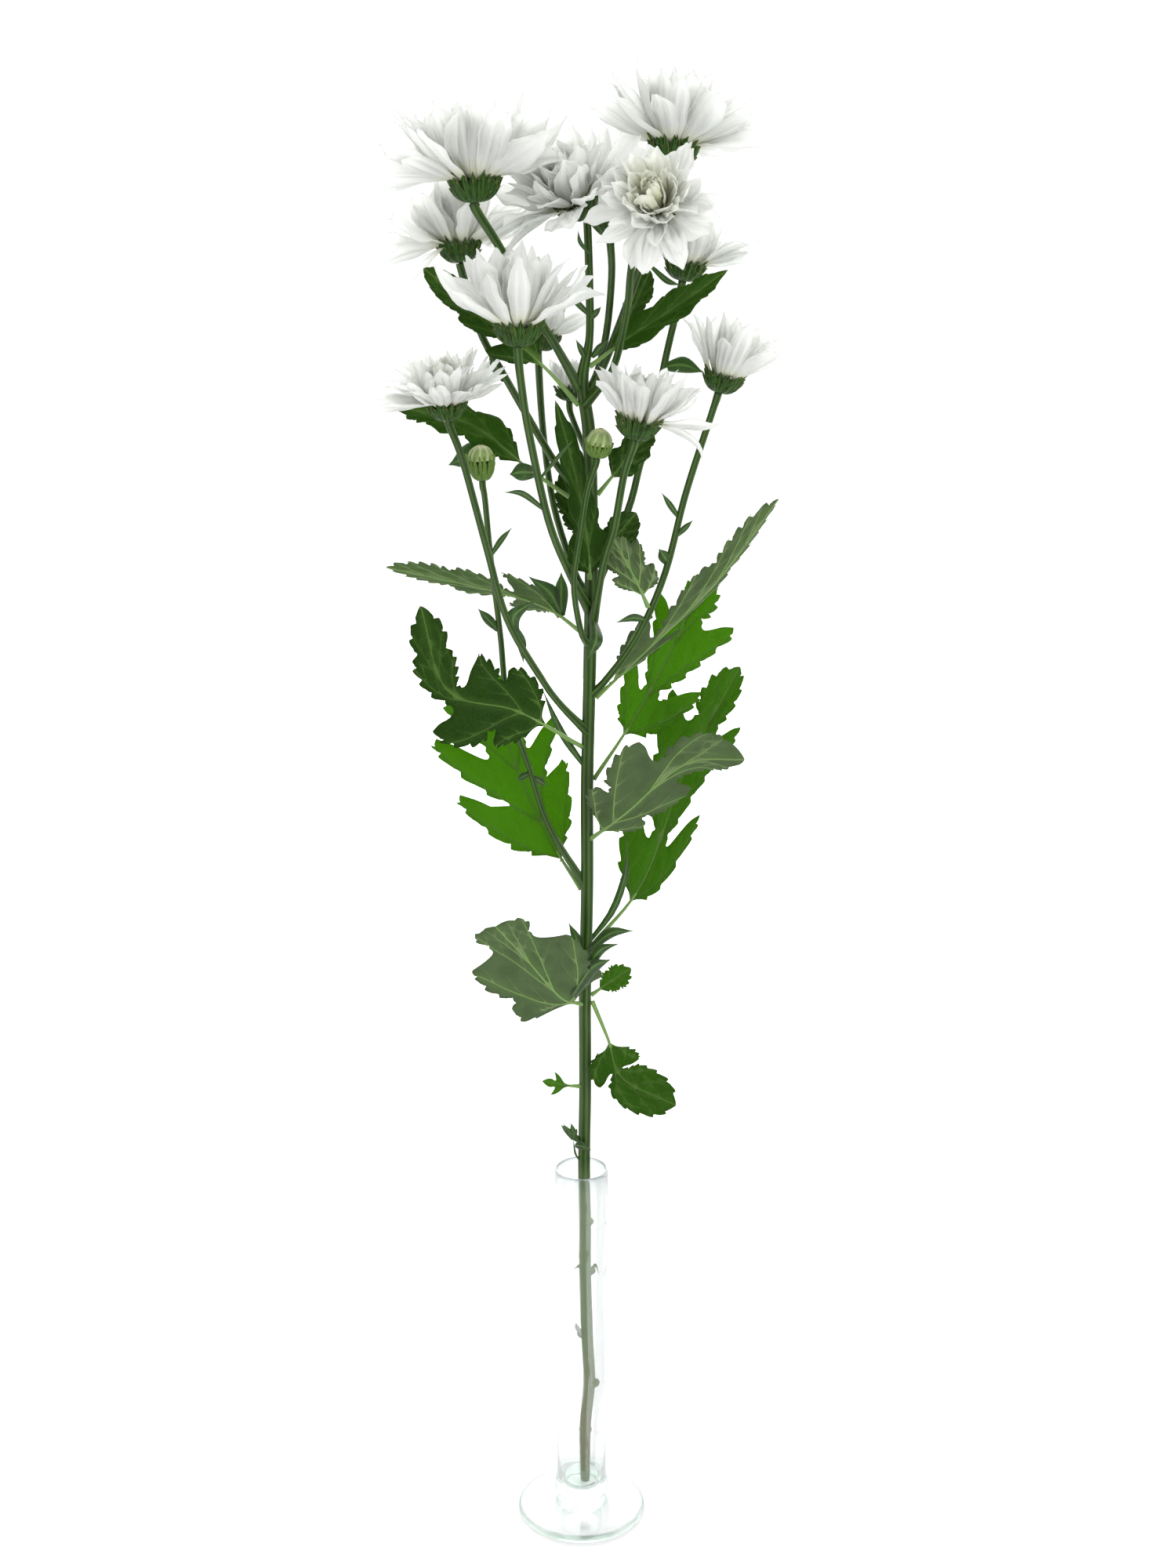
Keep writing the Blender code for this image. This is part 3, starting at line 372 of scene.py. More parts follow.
# Each kind's side veins: weight, where it leaves the midrib, then places as above.
VEINS = {
    "three": (
        (0.6, 0.05, (0.13, 0.22), (0.24, 0.57), (0.365, 0.93)),
        (0.55, 0.31, (0.42, 0.16), (0.53, 0.4), (0.62, 0.63)),
        (0.5, 0.48, (0.6, 0.15), (0.72, 0.34), (0.8, 0.52)),
        (0.45, 0.64, (0.75, 0.13), (0.84, 0.28), (0.91, 0.4)),
        (0.4, 0.8, (0.88, 0.11), (0.955, 0.25)),
        (0.36, 0.03, (0.08, 0.11), (0.11, 0.21)),
    ),
    "two": (
        (0.6, 0.04, (0.12, 0.28), (0.24, 0.62), (0.34, 0.9)),
        (0.55, 0.33, (0.44, 0.22), (0.58, 0.5), (0.7, 0.78)),
        (0.45, 0.56, (0.68, 0.2), (0.8, 0.44), (0.87, 0.6)),
        (0.4, 0.76, (0.86, 0.16), (0.94, 0.36)),
    ),
    "cut": (
        (0.6, 0.02, (0.07, 0.3), (0.16, 0.56), (0.22, 0.78)),
        (0.65, 0.14, (0.24, 0.28), (0.36, 0.62), (0.47, 0.94)),
        (0.6, 0.42, (0.55, 0.14), (0.68, 0.32), (0.8, 0.54)),
        (0.45, 0.62, (0.75, 0.12), (0.88, 0.4)),
    ),
    "horn": (
        (0.6, 0.02, (0.07, 0.3), (0.16, 0.58), (0.23, 0.82)),
        (0.65, 0.14, (0.24, 0.28), (0.36, 0.62), (0.46, 0.93)),
        (0.55, 0.45, (0.56, 0.12), (0.67, 0.28), (0.75, 0.43)),
        (0.45, 0.64, (0.76, 0.12), (0.89, 0.32)),
    ),
    "fingers": (
        (0.65, 0.03, (0.12, 0.28), (0.24, 0.6), (0.41, 0.95)),
        (0.6, 0.28, (0.42, 0.24), (0.58, 0.52), (0.76, 0.88)),
        (0.5, 0.6, (0.74, 0.14), (0.88, 0.38)),
        (0.4, 0.74, (0.84, 0.1), (0.95, 0.24)),
    ),
    "hand": (
        (0.6, 0.02, (0.14, 0.26), (0.3, 0.6), (0.47, 0.9)),
        (0.65, 0.26, (0.4, 0.28), (0.56, 0.64), (0.71, 0.95)),
        (0.55, 0.52, (0.65, 0.22), (0.78, 0.48), (0.88, 0.68)),
        (0.45, 0.76, (0.85, 0.12), (0.94, 0.28)),
    ),
    "fan": (
        (0.8, 0.0, (0.2, 0.34), (0.4, 0.68), (0.6, 0.98)),
        (0.6, 0.3, (0.52, 0.18), (0.74, 0.34), (0.94, 0.44)),
        (0.5, 0.08, (0.1, 0.28), (0.14, 0.52)),
        (0.45, 0.55, (0.75, 0.1), (0.96, 0.2)),
    ),
    "long": (
        (0.6, 0.02, (0.12, 0.38), (0.26, 0.84)),
        (0.5, 0.24, (0.36, 0.28), (0.48, 0.6)),
        (0.45, 0.48, (0.62, 0.2), (0.78, 0.42)),
    ),
    "wavy": (
        (0.5, 0.06, (0.16, 0.3), (0.33, 0.9)),
        (0.5, 0.28, (0.42, 0.3), (0.62, 0.84)),
        (0.45, 0.48, (0.62, 0.24), (0.8, 0.54)),
        (0.4, 0.68, (0.8, 0.18), (0.9, 0.38)),
    ),
    "broad": (
        (0.75, 0.02, (0.12, 0.34), (0.26, 0.64), (0.4, 0.94)),
        (0.65, 0.22, (0.4, 0.3), (0.58, 0.58), (0.75, 0.84)),
        (0.5, 0.5, (0.66, 0.18), (0.8, 0.34), (0.91, 0.46)),
        (0.45, 0.72, (0.85, 0.16), (0.94, 0.34)),
    ),
    "small": (
        (0.5, 0.1, (0.22, 0.34), (0.36, 0.8)),
        (0.5, 0.3, (0.46, 0.34), (0.62, 0.84)),
        (0.45, 0.5, (0.64, 0.28), (0.8, 0.62)),
        (0.4, 0.7, (0.82, 0.2), (0.93, 0.38)),
    ),
    "trident": (
        (0.5, 0.3, (0.44, 0.3), (0.66, 0.92)),
    ),
}
MIDRIB = ((0.0, 0.0), (0.5, 0.0), (1.0, 0.0))
TOOTH_PHASES = (0.0, 0.05, 0.11, 0.20, 0.34, 0.50, 0.68, 0.85)
SMALL_LEAF_WIDTH = 20.0
LEAF_CURL = 0.10
RUN_STEPS = 61
SIDE_VEIN_SHARES = (0.30, 0.42, 0.55, 0.67, 0.80)
FIT_GAP = 0.3
NECK_LENGTH = 3
STALK_RADIUS = 1.0
SQUARE_STALK = 0.9

# Bracts and small leaves on the stems: their width, then their run.
BRACTS = (
    (6, (-34, 17, 568), (-41, 14, 580)), (8, (38, 20, 574), (46, 17, 575), (55, 14, 572)),
    (6, (40, -2, 488), (35, -6, 496)), (7, (-29, -6, 456), (-30, -8, 466), (-19, -10, 474)),
    (5, (-31, -6, 462), (-27, -5, 453), (-26, -6, 444)), (5, (-38, 12, 455), (-47, 8, 466)),
    (4, (31, -1, 462), (24, -3, 464), (16, -4, 462)), (4, (-24, 14, 386), (-30, 7, 385)),
    (4, (-22, 14, 384), (-16, 8, 382)), (4, (3, 9, 389), (-9, 9, 407), (-18, 7, 429)),
    (4, (3, 11, 302), (15, 13, 318), (21, 14, 336), (22, 12, 352)),
    (4, (2, 10, 197), (-4, 6, 204), (-9, 3, 212)), (5, (2, 10, 296), (-6, 8, 314)),
    (4, (2, 11, 233), (7, 9, 240), (8, 7, 248)), (2, (4, -3, 624), (0, -7, 629), (-1, -9, 634)),
    (3, (4, -2, 596), (9, -7, 602)), (3, (4, -2, 598), (-6, -5, 608)),
    (3, (3, -1, 578), (-2, -6, 588)), (4, (5, -1, 580), (12, -7, 588)),
    (3, (-15, -26, 516), (-25, -29, 524), (-33, -31, 525)),
    (8, (-4, -3, 281), (5, -8, 297), (14, -10, 302)),
    (6, (0, -3, 287), (8, -8, 305), (18, -10, 310)), (6, (4, 8, 300), (14, 4, 310), (25, 2, 312)),
    (1.2, (-1, 8, 190), (-3, 8, 194), (-4, 6, 203)),
    (3, (-4, 6, 202), (-7, 5, 207), (-10, 4, 211)), (3, (-4, 6, 202), (-4, 5, 207), (-5, 4, 212)),
    (2.5, (-4, 6, 202), (-3, 5, 206), (-2, 4, 209)), (5, (-3, 6, 199), (0, 3, 200), (5, 3, 198)),
    (9, (-20, 10, 528), (-27, 10, 528), (-32, 10, 527)),
    (13, (-40, 18, 536), (-50, 19, 534), (-60, 19, 530)),
    (9, (-9, 16, 461), (-14, 18, 471), (-24, 18, 479)),
    (7, (-9, 16, 461), (-9, 18, 472), (-9, 18, 481)),
    (2.4, (2, 4, 130), (-1, 3, 135), (-5, 2, 133)), (2.4, (4, 5, 131), (7, 4, 135), (9, 3, 131)),
    (2.6, (1, 3, 96), (-2, 2, 101), (-3, 1, 105)),
    (3, (31, 18, 618), (38, 14, 612), (44, 12, 610)),
    (2, (-18, -30, 530), (-9, -32, 541), (-3, -34, 548)), (3, (44, -1, 509), (36, -5, 521)),
    (3, (43, -2, 501), (50, -7, 509)), (3, (-41, 9, 490), (-36, 5, 498), (-31, 3, 504)),
    (7, (6, 1, 462), (7, -12, 456), (3, -14, 447)),
)
STEM_KNOBS = ((4, 6, 131), (3, 6, 158), (1, 4, 97), (6, 1, 71), (2, 1, 44))
KNOB_RADIUS = 3.3
BRACT_ROWS = 11
BRACT_COLUMNS = 7
BRACT_THICKNESS = 0.5

# A cup's outside: depth below its lip and radius, as shares of its height and radius.
CUP_PROFILE = ((1.00, 0.20), (0.97, 0.40), (0.86, 0.60), (0.66, 0.77), (0.36, 0.91), (0.02, 1.0),
               (-0.20, 1.08), (-0.42, 1.18))
CUP_HEIGHT_SHARE = 0.95
# Rows of scales: how many, from and to where on the profile, their width, how proud they stand.
CUP_ROWS = ((9, 0.02, 0.56, 0.36, 1.25), (11, 0.12, 0.72, 0.37, 1.0),
            (13, 0.24, 0.84, 0.38, 0.65), (15, 0.34, 0.93, 0.38, 0.30))
BOWL_SIDES = 24
BOWL_ROWS = 10
BOWL_TOP = 4.7 / 7
# Rings of a bud's closed petals: how many, and their share of its radius.
BUD_RINGS = ((9, 0.90), (8, 0.82), (6, 0.66), (5, 0.45))
BUD_PETAL_THICKNESS = 0.45
HEART_GRID = (8, 6)

# The glass's outline, turned about the vase's axis: radius and height.
VASE_INSIDE = (
    (0.0, 13.8), (3.5, 13.9), (6.3, 14.5), (8.4, 15.8), (9.7, 18.0), (10.4, 21.0), (10.9, 27.0),
    (11.1, 38.0), (11.3, 60.0), (11.55, 90.0), (11.7, 120.0), (11.8, 150.0), (11.85, 178.0),
    (11.85, 187.6), (11.95, 188.8), (12.2, 189.6),
)
VASE_OUTSIDE = (
    (12.5, 189.95), (12.8, 189.7), (13.05, 189.0), (13.15, 187.8), (13.15, 178.0),
    (13.1, 150.0), (12.95, 120.0), (12.75, 90.0), (12.5, 60.0), (12.35, 38.0), (12.3, 27.0),
    (12.35, 21.5), (12.6, 18.6), (13.1, 17.2), (13.4, 15.6), (13.45, 13.2), (13.2, 11.6),
    (12.4, 10.4), (11.8, 9.4), (11.55, 8.2), (11.8, 6.9), (12.9, 6.0), (15.0, 5.3),
    (20.0, 4.6), (26.0, 4.0), (29.8, 3.6), (31.2, 3.1), (31.85, 2.3), (32.0, 1.4),
    (31.7, 0.55), (31.0, 0.05), (30.0, 0.0), (16.0, 0.25), (8.0, 0.4), (0.0, 0.45),
)

# The stage, in metres. Lamps: place, what they are aimed at, size and power.
FLOOR_DROP = -0.0004
FLOOR_CORNERS = ((-6, -4), (6, -4), (6, 8), (-6, 8))
BACKDROP = 1.05
LAMPS = {
    "back_panel": ((0.0, 1.6, 0.9), (0, 0, 0.45), 2.4, 54.0),
    "top_panel": ((-0.5, 0.2, 1.9), (0, 0, 0.5), 1.6, 14.0),
    "front_fill": ((0.9, -1.6, 1.3), (0, 0, 0.4), 1.2, 17.0),
}


class PetalSettings(PropertyGroup):
    """Sizes and colours of the white petals."""

    thickness: FloatProperty(name="Thickness", description="Thickness of a petal's middle",
                             default=0.00035, min=0.0001, unit="LENGTH")
    rows: IntProperty(name="Rows", description="Steps along a petal", default=14, min=4)
    columns: IntProperty(name="Columns", description="Steps across a petal", default=10, min=4)
    white: FloatVectorProperty(name="White", description="Colour of an open petal",
                               default=(0.948, 0.956, 0.946), subtype="COLOR")
    through: FloatVectorProperty(name="Light through", description="Colour of light from behind",
                                 default=(0.955, 0.962, 0.945), subtype="COLOR")
    cream: FloatVectorProperty(name="Cream", description="Colour of the youngest petals",
                               default=(0.93, 0.93, 0.62), subtype="COLOR")
    base: FloatVectorProperty(name="Base", description="Colour where a petal leaves the cup",
                              default=(0.72, 0.74, 0.46), subtype="COLOR")


class CupSettings(PropertyGroup):
    """Sizes and colours of the green cups."""

    thickness: FloatProperty(name="Scale thickness", description="Thickness of one scale",
                             default=0.0005, min=0.0001, unit="LENGTH")
    green: FloatVectorProperty(name="Green", description="Middle of a scale",
                               default=(0.011, 0.036, 0.003), subtype="COLOR")
    edge: FloatVectorProperty(name="Edge", description="Papery edge of a scale",
                              default=(0.20, 0.30, 0.07), subtype="COLOR")


class LeafSettings(PropertyGroup):
    """Sizes and colours of the leaves."""

    thickness: FloatProperty(name="Thickness", description="Thickness of a leaf's blade",
                             default=0.00055, min=0.0001, unit="LENGTH")
    spacing: FloatProperty(name="Spacing", description="Distance between a blade's points",
                           default=0.0016, min=0.0005, unit="LENGTH")
    upper: FloatVectorProperty(name="Upper side", description="Colour of the upper side",
                               default=(0.014, 0.046, 0.002), subtype="COLOR")
    under: FloatVectorProperty(name="Underside", description="Colour of the downy underside",
                               default=(0.090, 0.136, 0.060), subtype="COLOR")
    lit: FloatVectorProperty(name="Light through", description="Colour of light from behind",
                             default=(0.245, 0.480, 0.004), subtype="COLOR")
    vein: FloatVectorProperty(name="Vein", description="Colour of the veins",
                              default=(0.20, 0.36, 0.08), subtype="COLOR")


class StemSettings(PropertyGroup):
    """Sizes and colours of the stems."""

    sides: IntProperty(name="Sides", description="Points round a stem", default=24, min=8)
    groove: FloatProperty(name="Groove", description="Depth of a groove, as a share of radius",
                          default=0.07, min=0.0, max=0.3, subtype="FACTOR")
    green: FloatVectorProperty(name="Green", description="Colour of the ridges",
                               default=(0.054, 0.118, 0.014), subtype="COLOR")
    dark: FloatVectorProperty(name="Dark green", description="Colour of the grooves",
                              default=(0.013, 0.038, 0.004), subtype="COLOR")
    woody: FloatVectorProperty(name="Woody", description="Colour of the old lower end",
                               default=(0.21, 0.165, 0.085), subtype="COLOR")
    # Painted light: the stem inside the glass is painted with this paler colour.
    pale: FloatVectorProperty(name="Pale", description="Colour of the shaded part in the glass",
                              default=(0.26, 0.36, 0.16), subtype="COLOR")


class VaseSettings(PropertyGroup):
    """Sizes and colours of the glass."""

    sides: IntProperty(name="Sides", description="Steps round the glass", default=128, min=24)
    tint: FloatVectorProperty(name="Tint", description="Colour of the glass",
                              default=(0.975, 0.992, 0.995), subtype="COLOR")
    # Painted shade: edge, rim and foot are partly the glass's own green and partly painted shade of
    # its bending edges.
    edge: FloatVectorProperty(name="Edge", description="Colour where the glass is seen edge on",
                              default=(0.74, 0.82, 0.84), subtype="COLOR")
    base: FloatVectorProperty(name="Base", description="Colour of the thick lower end",
                              default=(0.68, 0.86, 0.75), subtype="COLOR")
    rim: FloatVectorProperty(name="Rim", description="Colour of the rounded rim",
                             default=(0.52, 0.60, 0.62), subtype="COLOR")
    foot: FloatVectorProperty(name="Foot", description="Colour of the foot's edge",
                              default=(0.36, 0.52, 0.42), subtype="COLOR")


class StageSettings(PropertyGroup):
    """Brightness of the floor and lights, and the camera's place."""

    floor_glow: FloatProperty(name="Floor glow", description="Light given off by the floor",
                              default=0.56, min=0.0)
    # Painted light: the floor near the vase is painted darker than the floor far away.
    near: FloatVectorProperty(name="Near floor", description="Colour of the floor by the vase",
                              default=(0.70, 0.70, 0.70), subtype="COLOR")
    sky: FloatProperty(name="Sky", description="Light from all round", default=0.60, min=0.0)
    camera_at: FloatVectorProperty(name="Camera", description="Place of the camera",
                                   default=(0.0033, -0.9709, 0.6633), subtype="TRANSLATION")
    pitch: FloatProperty(name="Pitch", description="How far the camera looks down",
                         default=math.radians(16), subtype="ANGLE")
    lens: FloatProperty(name="Lens", description="Focal length in millimetres", default=50.0)


class Value:
    """A number that varies over a surface, so that sums on it read as Python."""

    def __init__(self, finish, socket):
        self.finish = finish
        self.socket = socket

    def math(self, operation, *terms):
        """Add a Math node for an operation on some terms."""
        node = self.finish.node("ShaderNodeMath", {"operation": operation}, dict(enumerate(terms)))
        return Value(self.finish, node.outputs[0])

    def __add__(self, other):
        return self.math("ADD", self, other)

    def __sub__(self, other):
        return self.math("SUBTRACT", self, other)

    def __rsub__(self, other):
        return self.math("SUBTRACT", other, self)

    def __mul__(self, other):
        return self.math("MULTIPLY", self, other)

    def __abs__(self):
        return self.math("ABSOLUTE", self)

    __radd__ = __add__
    __rmul__ = __mul__

    def sine(self):
        """Give the sine of this number."""
        return self.math("SINE", self)

    def step(self, low, high):
        """Go smoothly from 0 to 1 as this number goes from low to high."""
        node = self.finish.node("ShaderNodeMapRange", {"interpolation_type": "SMOOTHSTEP"},
                                {"Value": self, "From Min": low, "From Max": high})
        return Value(self.finish, node.outputs[0])


class Finish:
    """One material, built node by node."""

    def __init__(self, name, **settings):
        self.material = bpy.data.materials.new(name)
        self.material.use_nodes = True
        self.tree = self.material.node_tree
        self.shader = self.tree.nodes["Principled BSDF"]
        for socket, value in settings.items():
            self.set(self.shader, socket.replace("_", " "), value)

    def set(self, node, socket, value):
        """Set a node's socket to a number, a colour or a link."""
        place = node.inputs[socket]
        if isinstance(value, Value):
            value = value.socket
        if isinstance(value, bpy.types.NodeSocket):
            self.tree.links.new(value, place)
        elif isinstance(value, (tuple, Color)):
            colour = tuple(value)
            wanted = len(place.default_value)
            place.default_value = colour if len(colour) == wanted else (*colour, 1.0)
        else:
            place.default_value = value

    def node(self, kind, settings, sockets):
        """Add a node: its settings first, then its sockets."""
        node = self.tree.nodes.new(kind)
        for name, value in settings.items():
            setattr(node, name, value)
        for socket, value in sockets.items():
            self.set(node, socket, value)
        return node

    def marks(self):
        """Give the marking's three numbers."""
        node = self.node("ShaderNodeAttribute", {"attribute_name": MARK}, {})
        parts = self.node("ShaderNodeSeparateXYZ", {}, {0: node.outputs["Vector"]})
        return [Value(self, socket) for socket in parts.outputs]

    def spots(self, scale, stretch=(1, 1, 1), detail=3.0):
        """Give soft noise in the object's own space, in spots a metre over scale wide."""
        place = self.node("ShaderNodeTexCoord", {}, {})
        sized = self.node("ShaderNodeVectorMath", {"operation": "MULTIPLY"},
                          {0: place.outputs["Object"], 1: stretch})
        noise = self.node("ShaderNodeTexNoise", {}, {
            "Vector": sized.outputs[0], "Scale": scale, "Detail": detail})
        return Value(self, noise.outputs[0])

    def mix(self, factor, first, second):
        """Mix two colours."""
        node = self.node("ShaderNodeMix", {"data_type": "RGBA"}, {0: factor, 6: first, 7: second})
        return node.outputs[2]

    def bump(self, height, strength, distance):
        """Raise the surface by a height."""
        node = self.node("ShaderNodeBump", {}, {
            "Height": height, "Strength": strength, "Distance": distance})
        self.set(self.shader, "Normal", node.outputs[0])
        return node.outputs[0]

    def let_through(self, share, colour, normal):
        """Let a share of the light through, as a thin blade does, in one plain colour."""
        thin = self.node("ShaderNodeBsdfTranslucent", {}, {"Color": colour, "Normal": normal})
        both = self.node("ShaderNodeMixShader", {}, {
            0: share, 1: self.shader.outputs[0], 2: thin.outputs[0]})
        out = self.tree.nodes["Material Output"]
        self.set(out, "Surface", both.outputs[0])


class Shape:
    """Gathers the points, faces and markings of one piece, in millimetres."""

    def __init__(self):
        self.points = []
        self.marks = []
        self.faces = []
        self.slots = []
        self.count = 0

    def add(self, points, faces, marks, slot=0):
        """Take in some points with their markings, and the faces between them."""
        points = np.asarray(points, float).reshape(-1, 3)
        self.points.append(points)
        self.marks.append(np.broadcast_to(np.asarray(marks, float), points.shape))
        self.faces += [tuple(int(index) + self.count for index in face) for face in faces]
        self.slots += slot if isinstance(slot, list) else [slot] * len(faces)
        self.count += len(points)

    def piece(self, name, finishes, node, slot, turn=None, at=(0, 0, 0)):
        """Make the object, and let it stand for a packed node."""
        points = np.vstack(self.points)
        if turn is not None:
            points = points @ np.array(turn).T
        points = (points + np.array(at, float)) * MM
        mesh = bpy.data.meshes.new(name)
        mesh.from_pydata(points.tolist(), [], self.faces)
        mark = mesh.attributes.new(MARK, "FLOAT_VECTOR", "POINT")
        mark.data.foreach_set("vector", np.vstack(self.marks).astype(np.float32).ravel())
        for finish in finishes:
            mesh.materials.append(finish.material)
        mesh.polygons.foreach_set("material_index", self.slots)
        mesh.shade_smooth()
        made = bpy.data.objects.new(name, mesh)
        bpy.context.scene.collection.objects.link(made)
        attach(made, BODY)
        if node:
            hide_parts(node)
        return made


def unit(vectors):
    """Scale vectors to length one."""
    return vectors / np.maximum(np.linalg.norm(vectors, axis=-1, keepdims=True), 1e-9)


def stacked(*parts):
    """Spread some arrays to one shape and stack them along a last axis."""
    return np.stack(np.broadcast_arrays(*parts), axis=-1)


def grid_faces(rows, columns, wrap=False):
    """List the four-sided faces of a grid of points."""
    faces = []
    across = columns if wrap else columns - 1
    for row in range(rows - 1):
        for column in range(across):
            beside = (column + 1) % columns
            here, next_row = row * columns, (row + 1) * columns
            faces.append((here + column, next_row + column, next_row + beside, here + beside))
    return faces


def tube_faces(rows, sides):
    """List the faces of a tube of rings with both ends closed."""
    last = (rows - 1) * sides
    walls = [tuple(reversed(face)) for face in grid_faces(rows, sides, wrap=True)]
    return walls + [tuple(reversed(range(sides))), tuple(range(last, last + sides))]


def two_sided(upper, rim, count):
    """Add the underside's faces, whose points follow the count upper ones, and the rim's."""
    under = [tuple(index + count for index in reversed(face)) for face in upper]
    return upper + under + [(a, a + count, b + count, b) for a, b in rim]


def blade_faces(rows, columns):
    """List the faces of a closed blade: its upper side, its underside and its rim."""
    rim = [row * columns for row in range(rows)]
    rim += [(rows - 1) * columns + column for column in range(1, columns)]
    rim += [row * columns + columns - 1 for row in range(rows - 2, -1, -1)]
    rim += list(range(columns - 2, 0, -1))
    return two_sided(grid_faces(rows, columns), zip(rim, rim[1:] + rim[:1]), rows * columns)


def blade_thickness(marks, thickness):
    """Thin a blade towards its edges and its tip."""
    side, share = marks[..., 0], marks[..., 1]
    return thickness * (0.25 + 0.75 * np.sqrt(np.maximum(1 - side ** 2, 0))) * (1 - 0.5 * share)


def closed_blade(shape, sheet, thickness, marks):
    """Give a sheet of points two sides and a rim, and take it into a shape."""
    normal = unit(np.cross(np.gradient(sheet, axis=0), np.gradient(sheet, axis=1)))
    half = blade_thickness(marks, thickness)[..., None] / 2
    points = np.concatenate([(sheet + normal * half).reshape(-1, 3),
                             (sheet - normal * half).reshape(-1, 3)])
    shape.add(points, blade_faces(*sheet.shape[:2]), np.concatenate([marks.reshape(-1, 3)] * 2))


def smooth_point(points, share):
    """Give the place at a share of the way along a smooth curve through some points."""
    spans = len(points) - 1
    span = min(int(share * spans), spans - 1)
    step = share * spans - span
    here, there = Vector(points[span]), Vector(points[span + 1])
    before = Vector(points[span - 1]) if span else here * 2 - there
    after = Vector(points[span + 2]) if span + 2 <= spans else there * 2 - here
    slope_here = (there - before) / 2
    slope_there = (after - here) / 2
    cube, square = step ** 3, step ** 2
    return (here * (2 * cube - 3 * square + 1) + slope_here * (cube - 2 * square + step)
            + there * (3 * square - 2 * cube) + slope_there * (cube - square))


def smooth_run(points, steps):
    """Give places along a smooth curve through some points."""
    return np.array([smooth_point(points, share) for share in np.linspace(0, 1, steps)])


def ring_frames(run):
    """Give two directions square to a run at each of its points, without twist."""
    ahead = unit(np.gradient(run, axis=0))
    side = np.cross(ahead[0], (0.0, 1.0, 0.0) if abs(ahead[0][1]) < 0.9 else (1.0, 0.0, 0.0))
    sides = []
    for step in ahead:
        side = side - step * side.dot(step)
        side = side / np.linalg.norm(side)
        sides.append(side)
    sides = np.array(sides)
    return sides, np.cross(ahead, sides)


def grooved_tube(shape, run, radii, sides, ribs, groove, lengthwise, slot=0):
    """Sweep a ribbed round section along a run and close its ends."""
    first, second = ring_frames(run)
    turns = np.arange(sides) * FULL_TURN / sides
    ridge = np.cos(ribs * turns)
    around = 1 + groove * ridge
    radius = np.asarray(radii, float)[:, None] * around[None, :]
    points = (run[:, None, :] + first[:, None, :] * (radius * np.cos(turns))[..., None]
              + second[:, None, :] * (radius * np.sin(turns))[..., None])
    marks = stacked(ridge, lengthwise[:, None], 0.0)
    shape.add(points, tube_faces(len(run), sides), marks.reshape(-1, 3), slot)


def turn_of(faces):
    """Give the shortest turn that stands a piece made round +Z the way it faces."""
    return Vector((0, 0, 1)).rotation_difference(Vector(faces)).to_matrix()


def petal_sheet(length, width, rise, tip_rise, root, form, rows, columns):
    """Give a petal's sheet of points, pointing along +X from its root, and its markings."""
    share = 1 - (1 - np.linspace(0, 1, rows + 1)) ** 1.35
    angle = np.radians(rise + (tip_rise - rise) * share ** form["bend"])
    between = (angle[1:] + angle[:-1]) / 2
    steps = np.diff(share) * length
    out = root[0] + np.concatenate([[0], np.cumsum(steps * np.cos(between))])[:, None]
    up = root[1] + np.concatenate([[0], np.cumsum(steps * np.sin(between))])[:, None]
    share, side = np.meshgrid(share, np.linspace(-1, 1, columns + 1), indexing="ij")
    angle = angle[:, None]
    swell = 0.36 + 0.64 * np.sin(np.minimum(share / form["widest"], 1) * math.pi / 2)
    beyond = np.clip((share - form["widest"]) / (1 - form["widest"]), 0, 1)
    taper = np.maximum(np.maximum(1 - beyond ** 2.0, 0) ** form["point"], form["blunt"])
    uneven = (1 + 0.05 * np.sin(share * 17 + form["phase"] * 3 + 2 * np.sign(side))
              + 0.05 * share ** 2 * np.sin(share * 34 + form["phase"] * 5 + np.sign(side)))
    half = width / 2 * swell * taper * uneven
    back = half * beyond ** 5 * (1.1 * side ** 2 + form["notch"] * (1 - np.abs(side)))
    lateral = half * side
    lift = form["cupped"] * half * side * side
    lift = lift + form["fold"] * half * np.abs(side) * beyond ** 2
    lift = lift + form["groove"] * half * np.cos(side * 2.6 * math.pi) * np.sin(share * math.pi)
    lift = lift + form["ruffle"] * half * side * np.sin(share * 9 + form["phase"]) * share
    lift = lift + form["wave"] * half * side ** 2 * np.sin(share * 13 + form["phase"] * 2)
    lift = lift + form["curl"] * length * np.clip(share - 0.6, 0, 1) ** 2
    twist = form["roll"] * np.minimum(share / 0.4, 1) + form["twist"] * share
    across = lateral * np.cos(twist) - lift * np.sin(twist) + form["sway"] * length * share ** 2
    off = lateral * np.sin(twist) + lift * np.cos(twist)
    sheet = stacked(out - off * np.sin(angle) - back * np.cos(angle), across,
                    up + off * np.cos(angle) - back * np.sin(angle))
    return sheet, stacked(side, share, form["tint"])


def spin(points, turn):
    """Turn points about +Z."""
    cos, sin = math.cos(turn), math.sin(turn)
    x, y, z = points[..., 0], points[..., 1], points[..., 2]
    return stacked(x * cos - y * sin, x * sin + y * cos, z)


def petal_form(draw, tint, narrow):
    """Draw one petal's small differences."""
    blunt = (0.05, 0.05, 0.14) if narrow else (0.05, 0.12, 0.24, 0.36)
    return {
        "widest": draw.uniform(0.50, 0.74), "point": draw.uniform(0.50, 0.85), "bend": 1.0,
        "blunt": draw.choice(blunt), "notch": draw.uniform(-0.7, 0.9),
        "cupped": draw.uniform(0.05, 0.52) + (0.14 if narrow else 0.0),
        "fold": draw.uniform(-0.2, 0.6), "groove": draw.uniform(0.09, 0.20),
        "ruffle": draw.uniform(-0.26, 0.26), "phase": draw.uniform(0, FULL_TURN),
        "wave": draw.uniform(-0.20, 0.20), "roll": 0.0,
        "curl": draw.uniform(-0.75, 0.70), "twist": draw.uniform(-0.5, 0.5),
        "sway": draw.uniform(-0.18, 0.18), "tint": tint,
    }


